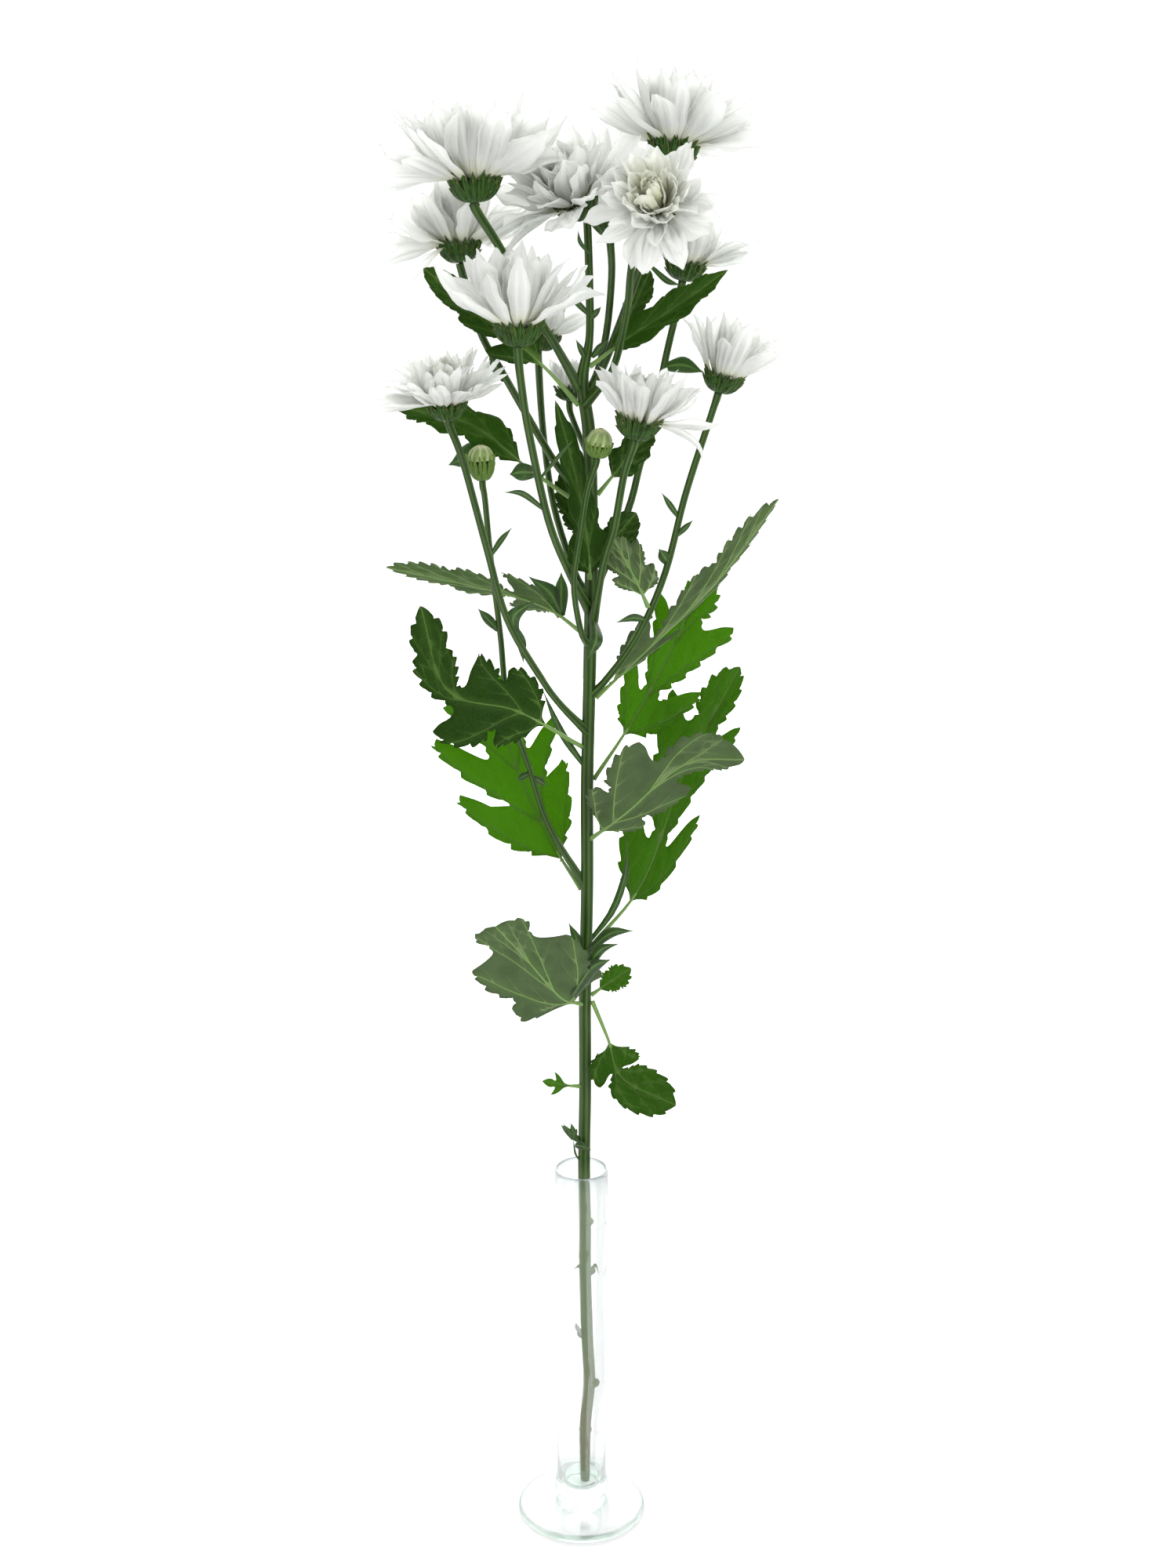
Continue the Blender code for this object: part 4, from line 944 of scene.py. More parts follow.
def petal_finish(petals):
    """White petals: fine lengthwise veins, yellow-green bases, light through them."""
    finish = Finish("petal_white", Roughness=0.52, Sheen_Weight=0.15, IOR=1.38)
    side, share, tint = finish.marks()
    lines = (side * 30).sine() * 0.5 + 0.5
    clouds = finish.spots(160)
    body = finish.mix(tint * (1 - share * 0.55).step(0.1, 1.0), petals.white, petals.cream)
    low = finish.mix((1 - share.step(0.02, 0.34)) * 0.75, body, petals.base)
    veined = finish.mix(lines * 0.06 * share.step(0.05, 0.3), low, (0.70, 0.73, 0.68))
    colour = finish.mix(clouds.step(0.45, 0.75) * 0.10, veined, (0.80, 0.82, 0.80))
    finish.set(finish.shader, "Base Color", colour)
    normal = finish.bump(lines * 0.7 + clouds * 0.5, 0.35, 0.0004)
    finish.let_through(0.46 + 0.20 * share.step(0.05, 0.45), petals.through, normal)
    return finish


def bloom(key, head, petals, finish):
    """Build one open head, ring on ring, from the spreading outer petals to the heart."""
    draw = random.Random(head.seed)
    shape = Shape()
    narrow = head.petal_width < 9
    thickness = petals.thickness / MM
    rings = len(head.rings)
    for ring, count in enumerate(head.rings):
        inward = ring / rings
        start = draw.uniform(0, FULL_TURN)
        for index in range(count):
            turn = start + FULL_TURN * (index + draw.uniform(-0.42, 0.42)) / count
            lifted = head.front * max(-math.sin(turn), 0.0) ** 1.3 * (1 - inward)
            rise = head.rise + (78 - head.rise) * inward ** 0.9 + lifted + draw.uniform(-13, 13)
            tip_rise = rise + draw.uniform(-14, 20) * (1 if ring else 0.7) + 34 * inward
            length = (head.reach - 0.28 * head.cup) * (1 - 0.34 * inward ** 1.5)
            length = length * draw.uniform(0.82, 1.03)
            width = head.petal_width * (1 - 0.25 * inward) * draw.uniform(0.70, 1.12)
            root = (head.cup * (0.80 - 0.52 * inward), head.cup * (0.30 * inward - 0.06))
            form = petal_form(draw, head.tint * inward ** 2, narrow)
            flank = 0.4 + 0.6 * abs(math.cos(turn))
            form["roll"] = draw.choice((-1, 1)) * draw.uniform(0.25, 1.05) * flank * head.roll
            sheet, marks = petal_sheet(length, width, rise, tip_rise, root, form,
                                       petals.rows, petals.columns)
            closed_blade(shape, spin(sheet, turn), thickness, marks)
    for turn, rise, tip_rise, bend, length, width in STRAYS.get(key, ()):
        form = petal_form(draw, 0.0, narrow)
        form["bend"] = bend
        form["roll"] = draw.choice((-1, 1)) * draw.uniform(0.5, 0.9) * head.roll
        sheet, marks = petal_sheet(length, width, rise, tip_rise, (head.cup * 0.76, -0.6), form,
                                   petals.rows + 4, petals.columns)
        closed_blade(shape, spin(sheet, math.radians(turn)), thickness, marks)
    for index in range(head.heart):
        form = petal_form(draw, head.tint, True)
        form["curl"] = draw.uniform(0.3, 0.7)
        out = draw.uniform(0.05, 0.42)
        sheet, marks = petal_sheet(head.reach * draw.uniform(0.44, 0.64), head.petal_width * 0.50,
                                   draw.uniform(66, 88), draw.uniform(92, 124),
                                   (head.cup * out, head.cup * 0.40), form, *HEART_GRID)
        closed_blade(shape, spin(sheet, index * GOLDEN_TURN), thickness, marks)
    shape.piece("petals_" + key, [finish], "bloom_" + key, "petal_white",
                turn_of(head.faces), head.at)


def cup_height(key):
    """Give the height of the green cup under a head or bud."""
    return BUDS[key].cup_height if key in BUDS else HEADS[key].cup * CUP_HEIGHT_SHARE


def cup_point(cup, height, share, proud):
    """Give the radius and height on a cup's outside at a share from its foot to past its lip."""
    spans = len(CUP_PROFILE) - 1
    span = min(int(share * spans), spans - 1)
    step = share * spans - span
    low, high = CUP_PROFILE[span], CUP_PROFILE[span + 1]
    down = low[0] + (high[0] - low[0]) * step
    out = low[1] + (high[1] - low[1]) * step
    return cup * out + proud, -height * down


def cup_scale(cup, height, low, high, width, proud, splay, rows=7, columns=4):
    """Give one scale of a cup as a sheet of points along +X, with its markings."""
    share = np.linspace(0, 1, rows + 1)
    side = np.linspace(-1, 1, columns + 1)
    radius, level = np.array([
        cup_point(cup, height, low + (high - low) * step, proud * (0.4 + 0.6 * step)
                  + splay * step ** 3) for step in share]).T
    half = width / 2 * np.sin(np.clip(share * 0.80 + 0.20, 0, 1) * math.pi) ** 1.25 + 0.04
    half[0] = width * 0.30
    turn = side[None, :] * (half / np.maximum(radius, 1.0))[:, None]
    cupped = -0.16 * width * side[None, :] ** 2
    ridge = 0.10 * width * np.exp(-(side[None, :] / 0.25) ** 2)
    reach = radius[:, None] + cupped + ridge
    sheet = stacked(reach * np.cos(turn), reach * np.sin(turn), level[:, None])
    return sheet, stacked(side[None, :], share[:, None], 0.0)


def cup_finish(cups):
    """Green scales with pale papery edges and a darker ridge."""
    finish = Finish("cup_green", Roughness=0.52, Specular_IOR_Level=0.25)
    side, share, shade = finish.marks()
    mottle = finish.spots(420)
    rim = abs(side).step(0.62, 1.0) + share.step(0.84, 1.0) * 0.6
    body = finish.mix(mottle.step(0.3, 0.7), cups.green, (0.026, 0.078, 0.006))
    ridge = finish.mix((1 - abs(side).step(0.0, 0.22)) * 0.35, body, (0.08, 0.18, 0.025))
    colour = finish.mix(rim.math("MINIMUM", rim, 1.0) * 0.65, ridge, cups.edge)
    tip = finish.mix(share.step(0.90, 1.0) * 0.55, colour, (0.20, 0.10, 0.05))
    youth = (0 - shade).step(0.0, 1.0) * (0.35 + 0.55 * share)
    young = finish.mix(youth, tip, (0.16, 0.27, 0.05))
    finish.set(finish.shader, "Base Color", finish.mix(shade, young, (0.03, 0.07, 0.012)))
    finish.bump((side * 14).sine() * 0.3 + mottle, 0.3, 0.0003)
    return finish


def cup(key, cups, finish):
    """Build one green cup: a bowl with rows of pointed scales over it."""
    spec = HEADS.get(key) or BUDS[key]
    bud = key in BUDS
    height = cup_height(key)
    draw = random.Random(ord(key))
    shape = Shape()
    turns = np.arange(BOWL_SIDES) * FULL_TURN / BOWL_SIDES
    bowl = []
    for low in np.linspace(0, BOWL_TOP, BOWL_ROWS):
        radius, level = cup_point(spec.cup * 0.93, height * 0.98, low, 0)
        bowl.append(stacked(radius * np.cos(turns), radius * np.sin(turns), level))
    shape.add(bowl, tube_faces(BOWL_ROWS, BOWL_SIDES), (0, 0.3, 1.0))
    splay = -0.4 if bud else 0.9
    for count, low, high, wide, proud in CUP_ROWS:
        start = draw.uniform(0, FULL_TURN)
        for index in range(count):
            top = high + draw.uniform(-0.09, 0.05)
            sheet, marks = cup_scale(spec.cup, height, low, min(top, 1.0),
                                     spec.cup * wide * draw.uniform(0.78, 1.15), proud * 0.6,
                                     splay * draw.uniform(0.0, 1.5))
            turn = start + FULL_TURN * (index + draw.uniform(-0.15, 0.15)) / count
            marks[..., 2] = -1.0 if bud else 0.0
            closed_blade(shape, spin(sheet, turn), cups.thickness / MM, marks)
    shape.piece("scales_" + key, [finish], "cup_" + key, "cup_green", turn_of(spec.faces),
                spec.at)


def bud_finish():
    """Closed young petals: cream with green streaks."""
    finish = Finish("bud_cream", Roughness=0.5)
    side, share, shade = finish.marks()
    streak = (1 - abs(side).step(0.30, 0.90)) * (1 - share.step(0.50, 1.0))
    colour = finish.mix(streak * 0.85, (0.76, 0.80, 0.50), (0.22, 0.36, 0.07))
    top = finish.mix(share.step(0.6, 1.0) * shade, colour, (0.80, 0.78, 0.36))
    finish.set(finish.shader, "Base Color", top)
    normal = finish.bump((side * 16).sine() + finish.spots(300), 0.3, 0.0002)
    finish.let_through(0.25, (0.70, 0.76, 0.42), normal)
    return finish


def bud_tip(key, bud, finish):
    """Build a bud's closed petals as curved blades that meet over its top."""
    draw = random.Random(ord(key) + 50)
    shape = Shape()
    share = np.linspace(0, 1, 11)[:, None]
    side = np.linspace(-1, 1, 7)[None, :]
    marks = stacked(side, share, 1.0 if key == "o" else 0.3)
    swell = np.sin(np.clip(share * 0.75 + 0.25, 0, 1) * math.pi) ** 0.6
    for ring, (count, size) in enumerate(BUD_RINGS):
        start = draw.uniform(0, FULL_TURN)
        for index in range(count):
            climb = share * math.pi / 2 * draw.uniform(0.90, 0.99)
            radius = bud.cup * size * np.cos(climb) ** 0.8 + 0.25
            level = FIT_GAP + bud.tip_height * (0.92 + 0.03 * ring) * np.sin(climb)
            turn = side * (FULL_TURN / count * 0.72 * swell) + 0.25 * share
            radius = radius + 0.35 * (1 - side ** 2) * np.cos(climb)
            sheet = stacked(radius * np.cos(turn), radius * np.sin(turn), level)
            closed_blade(shape, spin(sheet, start + FULL_TURN * index / count),
                         BUD_PETAL_THICKNESS, marks)
    shape.piece("bud_petals_" + key, [finish], "bud_tip_" + key, "bud_cream",
                turn_of(bud.faces), bud.at)


def main_radius(height):
    """Give the main stem's radius at a height."""
    if height < 60:
        return 2.2 + 0.7 * height / 60
    return float(np.interp(height, (60, 565, 585), (2.9, 2.9, 1.7)))


def neck_points(key):
    """Give the last two points of a stem: it runs straight into its green cup."""
    head = HEADS.get(key) or BUDS[key]
    axis = Vector(head.faces).normalized()
    end = Vector(head.at) - axis * (cup_height(key) + FIT_GAP)
    return tuple(end - axis * NECK_LENGTH), tuple(end)


def stem_run(key):
    """Give the points and radii of the main stem, or of a side stem by its head's letter."""
    if key == "main":
        points = [*MAIN_STEM[:-1], *neck_points("f")]
        return points, [main_radius(point[2]) for point in points]
    points = [*SIDE_STEMS[key][:-1], *neck_points(key)]
    stout = 0.9 + 0.105 * (HEADS.get(key) or BUDS[key]).cup
    slim = stout * 0.88
    return points, [stout] + [slim] * (len(points) - 3) + [stout] * 2


def stem_at(key, height):
    """Give the middle and the radius of a stem at a height."""
    points, radii = stem_run(key)
    for index, (low, high) in enumerate(zip(points, points[1:])):
        if low[2] <= height <= high[2]:
            share = (height - low[2]) / (high[2] - low[2])
            radius = radii[index] + (radii[index + 1] - radii[index]) * share
            return Vector(low).lerp(Vector(high), share), radius
    raise ValueError(f"no stem {key} at {height}")


def stem_finish(stems):
    """Green ridges and dark grooves, turning brown and scarred at the old lower end, and painted
    paler inside the glass as painted light.
    """
    finish = Finish("stem_green", Roughness=0.50, Specular_IOR_Level=0.30)
    ridge, height, _ = finish.marks()
    mottle = finish.spots(260, (1, 1, 0.25))
    fine = finish.spots(1500, (1, 1, 0.2), 2.0)
    stripe = (ridge * 0.5 + 0.5) + (mottle - 0.5) * 0.7
    green = finish.mix(stripe.step(0.1, 0.9), stems.dark, stems.green)
    # Painted light: the stem below about 170 to 192 mm, inside the glass, is painted paler to stand
    # for light reaching it there.
    pale = finish.mix((1 - height.step(170, 192)) * 0.45, green, stems.pale)
    old = (1 - (height + mottle * 50 - 25).step(35, 115)) * 0.8
    aged = finish.mix(old * (mottle.step(0.40, 0.62) * 0.6 + 0.4), pale, stems.woody)
    scars = finish.mix(fine.step(0.62, 0.72) * old, aged, (0.30, 0.28, 0.17))
    finish.set(finish.shader, "Base Color", scars)
    finish.bump(ridge * 0.3 + fine + old * mottle * 2, 0.4, 0.0004)
    return finish


def add_bract(shape, run, width):
    """Add a small pointed blade along a run."""
    middle = smooth_run(run, BRACT_ROWS)
    along = unit(middle[-1] - middle[0])
    across = unit(np.cross(along, (0.0, -1.0, 0.0)))
    lift = unit(np.cross(along, across))
    share = np.linspace(0, 1, BRACT_ROWS)[:, None]
    side = np.linspace(-1, 1, BRACT_COLUMNS)[None, :]
    half = width / 2 * np.maximum(0.45 + 0.75 * np.sin(share * math.pi * 0.62) - share ** 3, 0.05)
    half = half * (1 - 0.95 * share ** 4)
    sheet = (middle[:, None, :] + across * (half * side)[..., None]
             + lift * (0.30 * half * side ** 2)[..., None])
    closed_blade(shape, sheet, BRACT_THICKNESS, stacked(side, share, 0.0))


def add_knob(shape, place, radius):
    """Add a swelling where an old leaf sat: a ring of the stem that bulges and closes."""
    rows, sides = 9, 20
    climb = np.linspace(-1, 1, rows)[:, None]
    turns = (np.arange(sides) * FULL_TURN / sides)[None, :]
    bulge = radius * np.sqrt(np.maximum(1 - climb ** 2, 0.02)) * (1 + 0.06 * np.sin(turns * 3))
    points = stacked(place[0] + bulge * np.cos(turns), place[1] + bulge * np.sin(turns),
                     place[2] + climb * radius * 0.62)
    shape.add(points, tube_faces(rows, sides), (0.4, place[2], 0.0))


def stem(stems, leaves):
    """Build the main stem with its side stems, bracts and knobs."""
    shape = Shape()
    for key in ("main", *SIDE_STEMS):
        points, radii = stem_run(key)
        steps = max(int(sum(math.dist(a, b) for a, b in zip(points, points[1:])) / 4), 12)
        run = smooth_run(points, steps)
        spread = np.interp(np.linspace(0, len(radii) - 1, steps), range(len(radii)), radii)
        if key != "main":
            spread = spread * (1 + 0.45 * np.exp(-np.linspace(0, 1, steps) * 16))
        sides = stems.sides if key == "main" else 18
        ribs = 7 if key == "main" else 5
        grooved_tube(shape, run, spread, sides, ribs, stems.groove, run[:, 2])
    for place in STEM_KNOBS:
        add_knob(shape, place, KNOB_RADIUS)
    bracts = Shape()
    for width, *run in BRACTS:
        add_bract(bracts, run, width)
    finish = stem_finish(stems)
    made = shape.piece("ribbed_stems", [finish], "stem", "stem_green")
    small = bracts.piece("bracts", [bract_finish(leaves)], None, "stem_green")
    small.parent = made


def bract_finish(leaves):
    """Small fresh blades on the stems."""
    finish = Finish("bract_green", Roughness=0.5, Sheen_Weight=0.2)
    side, *_ = finish.marks()
    middle = 1 - abs(side).step(0.0, 0.25)
    colour = finish.mix(middle * 0.6, leaves.upper, leaves.vein)
    pale = finish.mix(finish.spots(300).step(0.4, 0.8) * 0.5, colour, (0.07, 0.17, 0.04))
    finish.set(finish.shader, "Base Color", pale)
    normal = finish.bump(middle + finish.spots(900), 0.3, 0.0003)
    finish.let_through(0.25, leaves.lit, normal)
    return finish


def seated_run(leaf):
    """Start a leaf's run just inside the side of the stem that carries it."""
    axis, radius = stem_at(leaf.grows_on, leaf.run[0][2])
    outward = Vector(leaf.run[1]) - axis
    away = Vector((outward.x, outward.y, 0)).normalized()
    rim_back = STALK_RADIUS * abs(outward.normalized().z)
    start = axis + away * (radius + rim_back * SQUARE_STALK - FIT_GAP)
    return [start, *(Vector(point) for point in leaf.run[1:])]


class LeafBend:
    """Bends flat places on a leaf's outline along its midrib's run."""

    def __init__(self, spec, seed):
        self.spec = spec
        self.shares = np.linspace(0, 1, RUN_STEPS)
        self.run = smooth_run(seated_run(spec), RUN_STEPS)
        ahead = unit(np.gradient(self.run, axis=0))
        faces = np.array(spec.faces, float)
        self.up = unit(faces - ahead * (ahead @ faces)[:, None])
        self.across = np.cross(ahead, self.up)
        draw = random.Random(seed)
        self.phase = [draw.uniform(0, FULL_TURN) for _ in range(4)]
        self.ruffle = draw.uniform(0.7, 1.2)

    def at(self, table, share):
        """Read a table of vectors at some shares."""
        return stacked(*(np.interp(share, self.shares, table[:, axis]) for axis in range(3)))

    def place(self, flat, relief=0.0):
        """Give the places and upward directions for some flat (along, out) places."""
        along, out = flat[:, 0], flat[:, 1]
        share = self.spec.stalk + (1 - self.spec.stalk) * along
        half = self.spec.width / 2
        side = out * half * (1 + self.spec.lean * np.sign(out))
        fold = math.radians(self.spec.fold)
        lift = np.abs(side) * math.sin(fold) - LEAF_CURL * side * side / half * 2
        wave = (np.sin(along * 21 + self.phase[0]) * 0.55
                + np.sin(along * 9 + out * 3 + self.phase[1]) * 0.45)
        lift = lift + self.ruffle * 0.045 * half * wave * np.abs(out) ** 1.5 + relief
        middle = self.at(self.run, share)
        up = unit(self.at(self.up, share))
        across = unit(self.at(self.across, share))
        return middle + across * (side * math.cos(fold))[:, None] + up * lift[:, None], up


def near_lines(flat, lines, scale):
    """Give each flat place's distance to the nearest line, in millimetres over its weight."""
    best = np.full(len(flat), 99.0)
    places = flat * scale
    rank = np.zeros(len(flat))
    for weight, line in lines:
        for start, end in zip(line, line[1:]):
            start, end = np.array(start) * scale, np.array(end) * scale
            way = end - start
            share = np.clip((places - start) @ way / (way @ way), 0, 1)
            gap = np.linalg.norm(places - start - share[:, None] * way, axis=1)
            rank = np.where(gap / weight < best, weight, rank)
            best = np.minimum(best, gap / weight)
    return best, rank


def inside(rim, places):
    """Tell which flat places lie inside a closed outline."""
    within = np.zeros(len(places), bool)
    for (x0, y0), (x1, y1) in zip(rim, np.roll(rim, -1, axis=0)):
        crosses = (y0 > places[:, 1]) != (y1 > places[:, 1])
        if y0 != y1:
            within ^= crosses & (places[:, 0] < (x1 - x0) * (places[:, 1] - y0) / (y1 - y0) + x0)
    return within


def outline_runs(kind):
    """Give an outline's runs in full, each with the place where the last one ends."""
    start, *runs = OUTLINES[kind]
    full = []
    for count, *stops in runs:
        full.append((count, (start, *stops)))
        start = stops[-1]
    return full


def vein_lines(kind):
    """Give a kind's veins in full: the midrib, then the side veins."""
    return [(1.0, MIDRIB)] + [(weight, ((share, 0.0), *stops))
                              for weight, share, *stops in VEINS[kind]]


def leaf_side(runs, teeth, scale, draw):
    """Give one side of a leaf's outline, its lobes a little longer or shorter than drawn."""
    stretch = [draw.uniform(0.88, 1.0), draw.uniform(0.86, 1.0), draw.uniform(0.9, 1.0), 1.0, 1.0]
    skew = draw.uniform(-0.03, 0.03)
    side = []
    for count, stops in runs:
        shares = ([(tooth + phase) / count for tooth in range(count) for phase in TOOTH_PHASES]
                  if count else list(np.linspace(0, 1, len(stops) * 2 + 1)[:-1]))
        stops = [(*stop, 0.0) for stop in stops]
        for share in shares:
            here = np.array(smooth_point(stops, share))[:2]
            ahead = np.array(smooth_point(stops, share + 0.01))[:2]
            way = unit((ahead - here) * scale)
            phase = share * count % 1.0 if count else 0.0
            notch = min(phase / 0.11, max(1 - (phase - 0.11) / 0.80, 0) ** 1.2)
            depth = teeth * notch * draw.uniform(0.7, 1.1)
            side.append(here + np.array((way[1], -way[0])) * depth / scale)
    return moved_places(side, skew, stretch), skew, stretch


def moved_places(places, skew, stretch):
    """Move flat places as one side of an outline is skewed and stretched."""
    at = (0, 0.3, 0.6, 0.85, 1)
    return [(float(along + skew * out * (1 - along)), float(out * np.interp(along, at, stretch)))
            for along, out in places]


def leaf_lines(veins, sides, scale, rim):
    """List both sides' veins, moved with the outline, and the small veins that leave them."""
    lines = [veins[0]]
    for sign, (_, skew, stretch) in zip((1, -1), sides):
        for weight, line in veins[1:]:
            moved = [(along, sign * out) for along, out in moved_places(line, skew, stretch)]
            lines.append((weight, moved))
            if weight > 0.4:
                lines += side_veins(moved, scale, rim)
    return lines


def side_veins(line, scale, rim):
    """Branch small veins off both sides of a vein, as far as they stay inside the outline."""
    stops = [(*stop, 0.0) for stop in line]
    length = np.linalg.norm((np.array(line[-1]) - np.array(line[0])) * scale)
    found = []
    for index, share in enumerate(SIDE_VEIN_SHARES):
        here = np.array(smooth_point(stops, share))[:2]
        way = unit((np.array(smooth_point(stops, share + 0.05))[:2] - here) * scale)
        turn = math.radians(34) * (1 if index % 2 else -1)
        away = np.array((way[0] * math.cos(turn) - way[1] * math.sin(turn),
                         way[0] * math.sin(turn) + way[1] * math.cos(turn)))
        end = here + away * length * (0.34 - 0.16 * share) / scale
        if inside(rim, np.array([end]))[0]:
            found.append((0.3, [tuple(here), tuple(end)]))
    return found


def flat_leaf(rim, lines, scale, spacing):
    """Fill a leaf's flat outline with points on its veins and between them, and triangles."""
    points = []
    for start, end in zip(rim, np.roll(rim, -1, axis=0)):
        cuts = max(int(np.linalg.norm((end - start) * scale) / spacing + 0.5), 1)
        points += [start + (end - start) * cut / cuts for cut in range(cuts)]
    count = len(points)
    edges = [(index, (index + 1) % count) for index in range(count)]
    for _, line in lines:
        for start, end in zip(line, line[1:]):
            start, end = np.array(start), np.array(end)
            cuts = max(int(np.linalg.norm((end - start) * scale) / spacing + 0.5), 1)
            steps = [start + (end - start) * cut / cuts for cut in range(cuts + 1)]
            steps = [step for step in steps if 0.005 < step[0] < 0.995]
            first = len(points)
            points += steps
            edges += [(first + index, first + index + 1) for index in range(len(steps) - 1)]
    across = spacing / scale[1]
    ahead = spacing * 0.866 / scale[0]
    lattice = np.array([(row * ahead, (column + 0.5 * (row % 2)) * across)
                        for row in range(1, int(1 / ahead))
                        for column in range(-int(1 / across) - 1, int(1 / across) + 2)])
    lattice = lattice[inside(rim, lattice)]
    closed = [(1.0, [*rim, rim[0]])]
    plain_lines = [(1.0, line) for _, line in lines]
    clear = near_lines(lattice, closed, scale)[0] > spacing * 0.5
    clear &= near_lines(lattice, plain_lines, scale)[0] > spacing * 0.5
    points += list(lattice[clear])
    flat = [Vector((float(a), float(o))) for a, o in points]
    dots, _, faces, *_ = delaunay_2d_cdt(flat, edges, [list(range(count))], 1, 1e-6)
    return np.array([tuple(dot) for dot in dots]), [tuple(face) for face in faces]


def rim_of(faces):
    """List the open edges of some triangles, each the way its face goes round."""
    seen = {}
    for face in faces:
        for a, b in zip(face, (*face[1:], face[0])):
            seen[(a, b)] = True
    return [(a, b) for a, b in seen if (b, a) not in seen]


def leaf_finish(name, leaves, under, light):
    """One side of a leaf: pale sunk veins, a fine net between them, light from behind, and painted
    light.
    """
    finish = Finish(name, Roughness=0.66 if under else 0.50, IOR=1.36,
                    Specular_IOR_Level=0.18)
    along, rank, vein = finish.marks()
    mottle = finish.spots(110)
    fine = finish.spots(900, detail=2.0)
    net = finish.node("ShaderNodeTexVoronoi", {"feature": "DISTANCE_TO_EDGE"}, {
        "Vector": finish.node("ShaderNodeTexCoord", {}, {}).outputs["Object"], "Scale": 480.0})
    net = 1 - Value(finish, net.outputs[0]).step(0.0, 0.10)
    line = (1 - vein.step(0.20, 0.52)) * rank * (1.15 - along * 0.5)
    halo = (1 - vein.step(0.3, 4.0)) * rank
    body = leaves.under if under else leaves.upper
    # Painted light: a leaf that gets more light is painted a lighter green, up to 2.2 times its
    # base colour.
    painted_lit_green = tuple(channel * (1 + 1.2 * light) for channel in body)
    tone = finish.mix(mottle.step(0.35, 0.70) * 0.6, painted_lit_green,
                      tuple(channel * 0.66 for channel in painted_lit_green))
    soft = finish.mix(halo * (0.22 if under else 0.10) + net * 0.06, tone, leaves.vein)
    vein_colour = (0.34, 0.42, 0.22) if under else leaves.vein
    colour = finish.mix(line * (0.80 if under else 0.44), soft, vein_colour)
    finish.set(finish.shader, "Base Color", colour)
    raised = line * (1.2 if under else -1.0) + fine * 0.35 + mottle * 0.5 - net * 0.25
    normal = finish.bump(raised, 0.5, 0.0005)
    # Painted light: the colour seen through the leaf, and the share let through, grow with the
    # light the leaf gets.
    glow = tuple(channel * (0.30 + 0.70 * light) for channel in leaves.lit)
    finish.let_through((0.25 + 0.30 * light) * (1 - line * 0.45), glow, normal)
    return finish


def leaf(name, spec, leaves, finishes):
    """Build one leaf: two sides with sunk veins, raised ribs below, and its stalk."""
    small = spec.width < SMALL_LEAF_WIDTH
    draw = random.Random(name)
    bend = LeafBend(spec, len(name) * 7 + ord(name[0]))
    length = float(np.linalg.norm(np.diff(bend.run, axis=0), axis=1).sum()) * (1 - spec.stalk)
    scale = np.array((length, spec.width / 2))
    runs = outline_runs(spec.outline)
    sides = [leaf_side(runs, spec.teeth, scale, draw) for _ in range(2)]
    left = [(along, -out) for along, out in reversed(sides[1][0])]
    rim = np.array([*sides[0][0], (1.0, 0.0), *left])
    lines = leaf_lines(vein_lines(spec.outline), sides, scale, rim)
    spacing = leaves.spacing / MM * (0.65 if small else 1.0)
    flat, faces = flat_leaf(rim, lines, scale, spacing)
    near, rank = near_lines(flat, lines, scale)
    edge_gap, _ = near_lines(flat, [(1.0, [*rim, rim[0]])], scale)
    bulge = 0.60 * np.clip(near / 6.0, 0, 1) ** 0.7 * np.clip(edge_gap / 2.5, 0, 1)
    places, up = bend.place(flat, bulge)
    thick = leaves.thickness / MM * (0.45 + 0.55 * np.clip(edge_gap / 1.5, 0, 1))[:, None]
    corners = places[np.array(faces[0])]
    facing = np.cross(corners[1] - corners[0], corners[2] - corners[0]) @ up[faces[0][0]]
    if facing < 0:
        faces = [tuple(reversed(face)) for face in faces]
    both = two_sided(faces, rim_of(faces), len(flat))
    marks = stacked(flat[:, 0], rank, near)
    shape = Shape()
    shape.add(np.concatenate([places + up * thick / 2, places - up * thick / 2]), both,
              np.concatenate([marks, marks]), [0] * len(faces) + [1] * (len(both) - len(faces)))
    for weight, line in lines:
        if weight > 0.35:
            add_rib(shape, bend, line, scale, 0.20 + 0.42 * weight ** 1.5, small)
    end = spec.stalk + 0.10 * (1 - spec.stalk)
    run = bend.run[:max(int(end * (RUN_STEPS - 1)) + 1, 5)]
    radii = np.linspace(STALK_RADIUS * 1.15, 0.62, len(run))
    grooved_tube(shape, run, radii, 12, 3, 0.12, np.zeros(len(run)), slot=2)
    shape.piece("blade_" + name, finishes, "leaf_" + name, "leaf_green")


def add_rib(shape, bend, line, scale, stout, small):
    """Add a vein's raised rib on the underside."""
    stops = [np.array(stop) for stop in line]
    flat = []
    for start, end in zip(stops, stops[1:]):
        cuts = max(int(np.linalg.norm((end - start) * scale) / 2.5), 2)
        flat += [start + (end - start) * cut / cuts for cut in range(cuts)]
    flat = np.array([*flat, stops[-1]])
    places, up = bend.place(flat)
    radii = stout * (0.7 if small else 1.0) * np.linspace(1.0, 0.3, len(flat))
    grooved_tube(shape, places - up * 0.22, radii, 6, 0, 0.0, np.zeros(len(flat)), slot=2)


def rib_finish(leaves):
    """Pale ribs and stalks."""
    finish = Finish("leaf_rib", Roughness=0.5, Sheen_Weight=0.1)
    mottle = finish.spots(300)
    colour = finish.mix(mottle, leaves.vein, (0.20, 0.34, 0.09))
    finish.set(finish.shader, "Base Color", colour)
    normal = finish.bump(mottle, 0.3, 0.0003)
    finish.let_through(0.2, tuple(leaves.vein), normal)
    return finish


